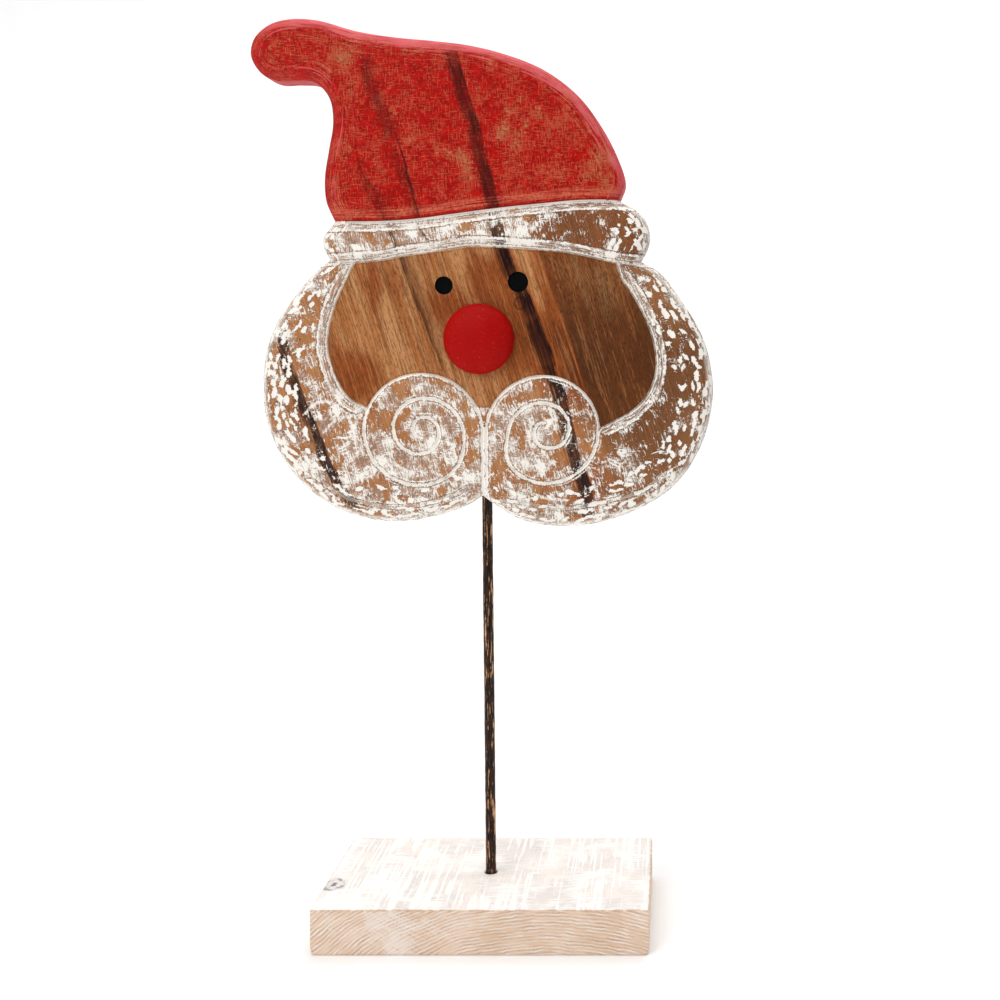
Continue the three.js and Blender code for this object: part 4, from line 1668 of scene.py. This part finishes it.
# %% Block: the knot
KNOT_X, KNOT_Y = -68.0, -14.0
KNOT_SQUEEZE = 0.75
KNOT_RIM = 5.6
KNOT_GREY = tone(112, 100, 106)

knot_place = together(x, times(y, KNOT_SQUEEZE), 0.0)
knot_off = vector_calc("DISTANCE", knot_place, (KNOT_X, KNOT_SQUEEZE * KNOT_Y, 0), "Value")
knot_off = scaled(noise(place, 0.45, 3.0), 3.0, knot_off)
knot_rim = times(band(knot_off, KNOT_RIM, 0.3, 1.3), ease(noise(place, 0.3, 2.0), 0.4, 0.55), 0.7)
knot = most(fade(knot_off, 2.2, 3.4, 0.9), knot_rim, fade(knot_off, 5.0, 8.0, 0.25))
knotted = mix(times(knot, ease(z, 12, 19)), limed_wood, KNOT_GREY)
wire(shader, 0.5, knotted, ease(limewash, 0, 1, 0.62, 0.8), scaled(fibre_lines, -0.8, limewash), 0.12)
print("material:", limed.name, "with", len(tree.nodes), "nodes")

# %% [markdown]
# ## More here and less there
# The beard was brushed thicker in some places than in others, the hat is worn through at spots,
# and the wood is darker here and there. Each is a soft field of round spots over the board. A
# vertex paint brush would do this by hand; a few named spots can be read and moved.

# %% Fields of spots over the board
# Each spot: across, height, radius, and how much more or less there is of something.
WASH_SPOTS = [
    (-62, 233, 14, 0.2), (-58, 203, 18, 0.05), (-81, 241, 14, -0.2), (-29, 212, 12, 0.22),
    (-36, 240, 8, -0.15), (22, 224, 14, 0.12), (18, 204, 10, 0.05), (-15, 190, 14, 0.15),
    (54, 200, 9, 0.1), (70, 214, 8, -0.25), (82, 258, 20, -0.45), (84, 225, 10, -0.1),
    (-30, 304, 24, 0.26), (12, 308, 14, 0.2), (32, 308, 10, -0.05), (57, 306, 12, -0.2),
    (-58, 302, 10, 0.05), (-75, 275, 14, -0.15), (-50, 214, 6, -0.1), (-66, 218, 5, -0.15),
    (-43, 222, 8, -0.2),
]
WORN_SPOTS = [
    (-58.4, 379.5, 6, 0.9), (-13.9, 340.3, 3.5, 0.6), (-9.7, 339.1, 3.5, 0.6), (-6.8, 335, 3.5, 0.7),
    (-6.4, 330, 3.5, 0.6), (-36.7, 357.7, 4, 0.5), (-31.4, 344.1, 3, 0.6), (-55.3, 368, 5, 0.4),
    (8, 346.1, 2.8, 0.9), (10.1, 350.3, 2.8, 0.9), (12.3, 356.5, 2.8, 0.8), (16.5, 361, 2.8, 0.7),
    (14.7, 343.2, 2.6, 0.8), (16.4, 347.4, 2.6, 0.9), (18.9, 351.5, 2.6, 0.8), (24, 355.5, 2.8, 0.7),
    (13.4, 335, 5, 0.4), (28, 331, 8, 0.4), (46.9, 330.8, 6, 0.7), (51.1, 338, 5, 0.6),
    (54, 326.6, 4, 0.6), (34.5, 353, 7, 0.4), (-54, 326.6, 5, 0.4), (-58.8, 341, 4, 0.4),
    (-84, 385, 7, 0.3), (-24, 340, 8, 0.2),
]
SHADE_SPOTS = [
    (-57.5, 246.9, 9, 0.3), (-54, 240, 8, 0.25), (-46, 286, 10, 0.1), (-32, 255, 12, -0.3),
    (-17.3, 273.5, 6, 0.45), (-14, 290, 8, -0.2), (0, 286, 13, 0.36), (10, 270, 9, 0.25),
    (-4, 236, 10, -0.3), (-50, 262, 7, -0.15), (20, 256, 10, 0.45), (33, 262, 11, 0.4),
    (38, 246, 11, 0.5), (58, 246, 24, 0.45), (27, 286, 9, 0.12), (38, 280, 9, 0.1),
    (84, 250, 18, 0.2), (76, 215, 16, 0.2), (44, 196, 12, 0.3), (-78, 232, 9, 0.2),
    (60, 305, 16, 0.3), (34, 308, 12, 0.45),
]
# Single strokes of the brush that stand out on the real beard.
SINGLE_STROKES = [
    [(-77.5, 227.7), (-74.0, 231.5), (-68.8, 233.0), (-63.4, 230.7)],
    [(-69.5, 219.6), (-65.6, 223.9), (-59.6, 226.6), (-52.0, 225.6)],
    [(-59.6, 226.6), (-56.7, 221.3), (-56.0, 214.5)],
    [(-41.6, 207.6), (-36.5, 204.2), (-30.6, 201.6)],
    [(16.4, 194.7), (24.9, 191.3), (36.0, 190.0)],
    [(-22.9, 202.5), (-17.8, 199.9), (-12.7, 196.0)],
]


def all_places(items, name):
    """A place of each of a mesh's points or faces, in millimetres."""
    flat = np.empty(len(items) * 3)
    items.foreach_get(name, flat)
    return flat.reshape(-1, 3) / MM


def spot_field(spots, places, start):
    """A soft field of spots over places across and up the board."""
    field = np.full(len(places), start)
    for x, z, radius, more in spots:
        field += more * np.exp(-((np.hypot(*(places - (x, z)).T) / radius) ** 2))
    return field


plane = all_places(board.data.vertices, "co")[:, [0, 2]]
add_values(board.data, "wash", spot_field(WASH_SPOTS, plane, 0.5))
add_values(board.data, "worn", spot_field(WORN_SPOTS, plane, 0.0))
add_values(board.data, "shade", spot_field(SHADE_SPOTS, plane, 0.0))
to_strokes = [np.abs(measure(smooth_line(way, 1.0), plane)[0]) for way in SINGLE_STROKES]
add_values(board.data, "off_stroke", np.minimum.reduce(to_strokes))
print(len(WASH_SPOTS) + len(WORN_SPOTS) + len(SHADE_SPOTS), "spots and", len(to_strokes), "single strokes")

# %% [markdown]
# ## Which face of the board has which finish
# The cuts part the finishes on the real board, so the finish of a face is chosen by where its
# middle lies: above the hat line it is red, inside the face line it is varnished, in an eye it
# is black, and everything else is whitewashed. The edges between finishes lie on edges of the
# mesh, because the sheet was cut along them.

# %% Finishes on the pieces
WHITE_FINISH, RED_FINISH, VARNISH_FINISH, EYE_FINISH = range(4)

middles = all_places(board.data.polygons, "center")
plane = middles[:, [0, 2]]
above_hat_line = measure(CUTS["hat"]["line"], plane)[0] > 0
on_front = middles[:, 1] < -BOARD_HALF + EDGE_ROUND
finish = np.where(above_hat_line, RED_FINISH, WHITE_FINISH)
finish = np.where(on_front & inside(FACE_LOOP, plane), VARNISH_FINISH, finish)
for x, z, radius in EYES.values():
    in_eye = np.hypot(plane[:, 0] - x, plane[:, 1] - z) < radius
    finish = np.where(on_front & in_eye, EYE_FINISH, finish)
for made in (whitewash, red_paint, varnished, eye_black):
    board.data.materials.append(made)
board.data.polygons.foreach_set("material_index", finish.astype(np.int32))
pick(board)
bpy.ops.object.shade_smooth_by_angle(angle=math.radians(38))
for piece, made in ((nose, nose_red), (rod, bronze), (block, limed)):
    piece.data.materials.clear()
    piece.data.materials.append(made)
print("faces per finish:", np.bincount(finish).tolist())

# %% [markdown]
# ## The stage
# A pale floor runs up into a wall behind the object in one curve, so no edge shows. A big
# softbox hangs over it and a weaker one stands in front, which leaves faint shadows only. The
# sizes of the stage are in metres.

# %% Floor
FLOOR_HALF = 2.0
WALL_HEIGHT = 2.2
FOLD_ROUND = 0.7
FLOOR_WHITE = tone(250, 250, 250)
FLOOR_GLOW = 0.35

bpy.ops.object.select_all(action="DESELECT")
bpy.ops.mesh.primitive_plane_add(size=2 * FLOOR_HALF, location=(0, 0, 0))
floor = bpy.context.object
floor.name = "floor"
bpy.ops.object.mode_set(mode="EDIT")
bpy.ops.mesh.select_mode(type="EDGE")
bpy.ops.mesh.select_all(action="DESELECT")
select_edges(floor, lambda at, way: at.y * MM > FLOOR_HALF - 0.01)
bpy.ops.mesh.extrude_edges_move(TRANSFORM_OT_translate={"value": (0, 0, WALL_HEIGHT)})
select_edges(floor, lambda at, way: at.y * MM > FLOOR_HALF - 0.01 and at.z * MM < 0.01)
bpy.ops.mesh.bevel(offset=FOLD_ROUND, segments=16, affect="EDGES")
bpy.ops.object.mode_set(mode="OBJECT")
bpy.ops.object.shade_smooth()
floor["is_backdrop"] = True
pale, tree, shader = new_material("pale_floor")
shader["Base Color"].default_value = FLOOR_WHITE
shader["Roughness"].default_value = 0.9
far_back = ease(apart(place_in_mm(tree))[1], 250, 1300)
send(mix(far_back, (0, 0, 0, 1), (1, 1, 1, 1)), shader["Emission Color"])
shader["Emission Strength"].default_value = FLOOR_GLOW
floor.data.materials.append(pale)
print("floor:", len(floor.data.polygons), "faces")

# %% Light and camera
WORLD_LIGHT = 0.34
CAMERA_PLACE = (0.0822, -0.572, 0.2613)
CAMERA_PITCH = math.radians(4.14)
CAMERA_LENS = 46.8
CAMERA_SHIFT = (-0.174, -0.07)

world = bpy.data.worlds.new("studio")
world.use_nodes = True
world.node_tree.nodes["Background"].inputs["Color"].default_value = (1, 1, 1, 1)
world.node_tree.nodes["Background"].inputs["Strength"].default_value = WORLD_LIGHT
bpy.context.scene.world = world


def softbox(name, place, aim, size, power):
    """A square area light that points at a place."""
    bpy.ops.object.light_add(type="AREA", location=place)
    lamp = bpy.context.object
    lamp.name = name
    lamp.data.size = size
    lamp.data.energy = power
    lamp.rotation_euler = (Vector(aim) - Vector(place)).to_track_quat("-Z", "Y").to_euler()


softbox("softbox_above", (0.1, 0.15, 1.5), (0, 0, 0.1), 1.6, 19)
softbox("softbox_front", (-0.8, -1.2, 1.2), (0, 0, 0.25), 1.0, 12)
bpy.ops.object.camera_add(location=CAMERA_PLACE, rotation=(math.pi / 2 - CAMERA_PITCH, 0, 0))
camera = bpy.context.object
camera.data.lens = CAMERA_LENS
camera.data.shift_x, camera.data.shift_y = CAMERA_SHIFT
bpy.context.scene.camera = camera
bpy.context.scene.view_settings.view_transform = "Standard"
print("camera", camera.name, "and two softboxes")

# %% [markdown]
# ## The new pieces
# Each new piece stands for its solid and rides with the object's one body. The two boxes are
# written down, so the sizes can be compared.

# %% Pieces, sizes and the end
for piece, node, slot in (
    (board, "head", "painted_carved_wood"), (nose, "nose", "red_painted_wood"),
    (rod, "rod", "antique_bronze_metal"), (block, "base", "whitewashed_base_wood"),
):
    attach(piece, "root")
    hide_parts(node)
looks_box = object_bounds()
for label, box in (("cad", cad_box), ("looks", looks_box)):
    print(label, [[round(value / MM, 2) for value in corner] for corner in box])
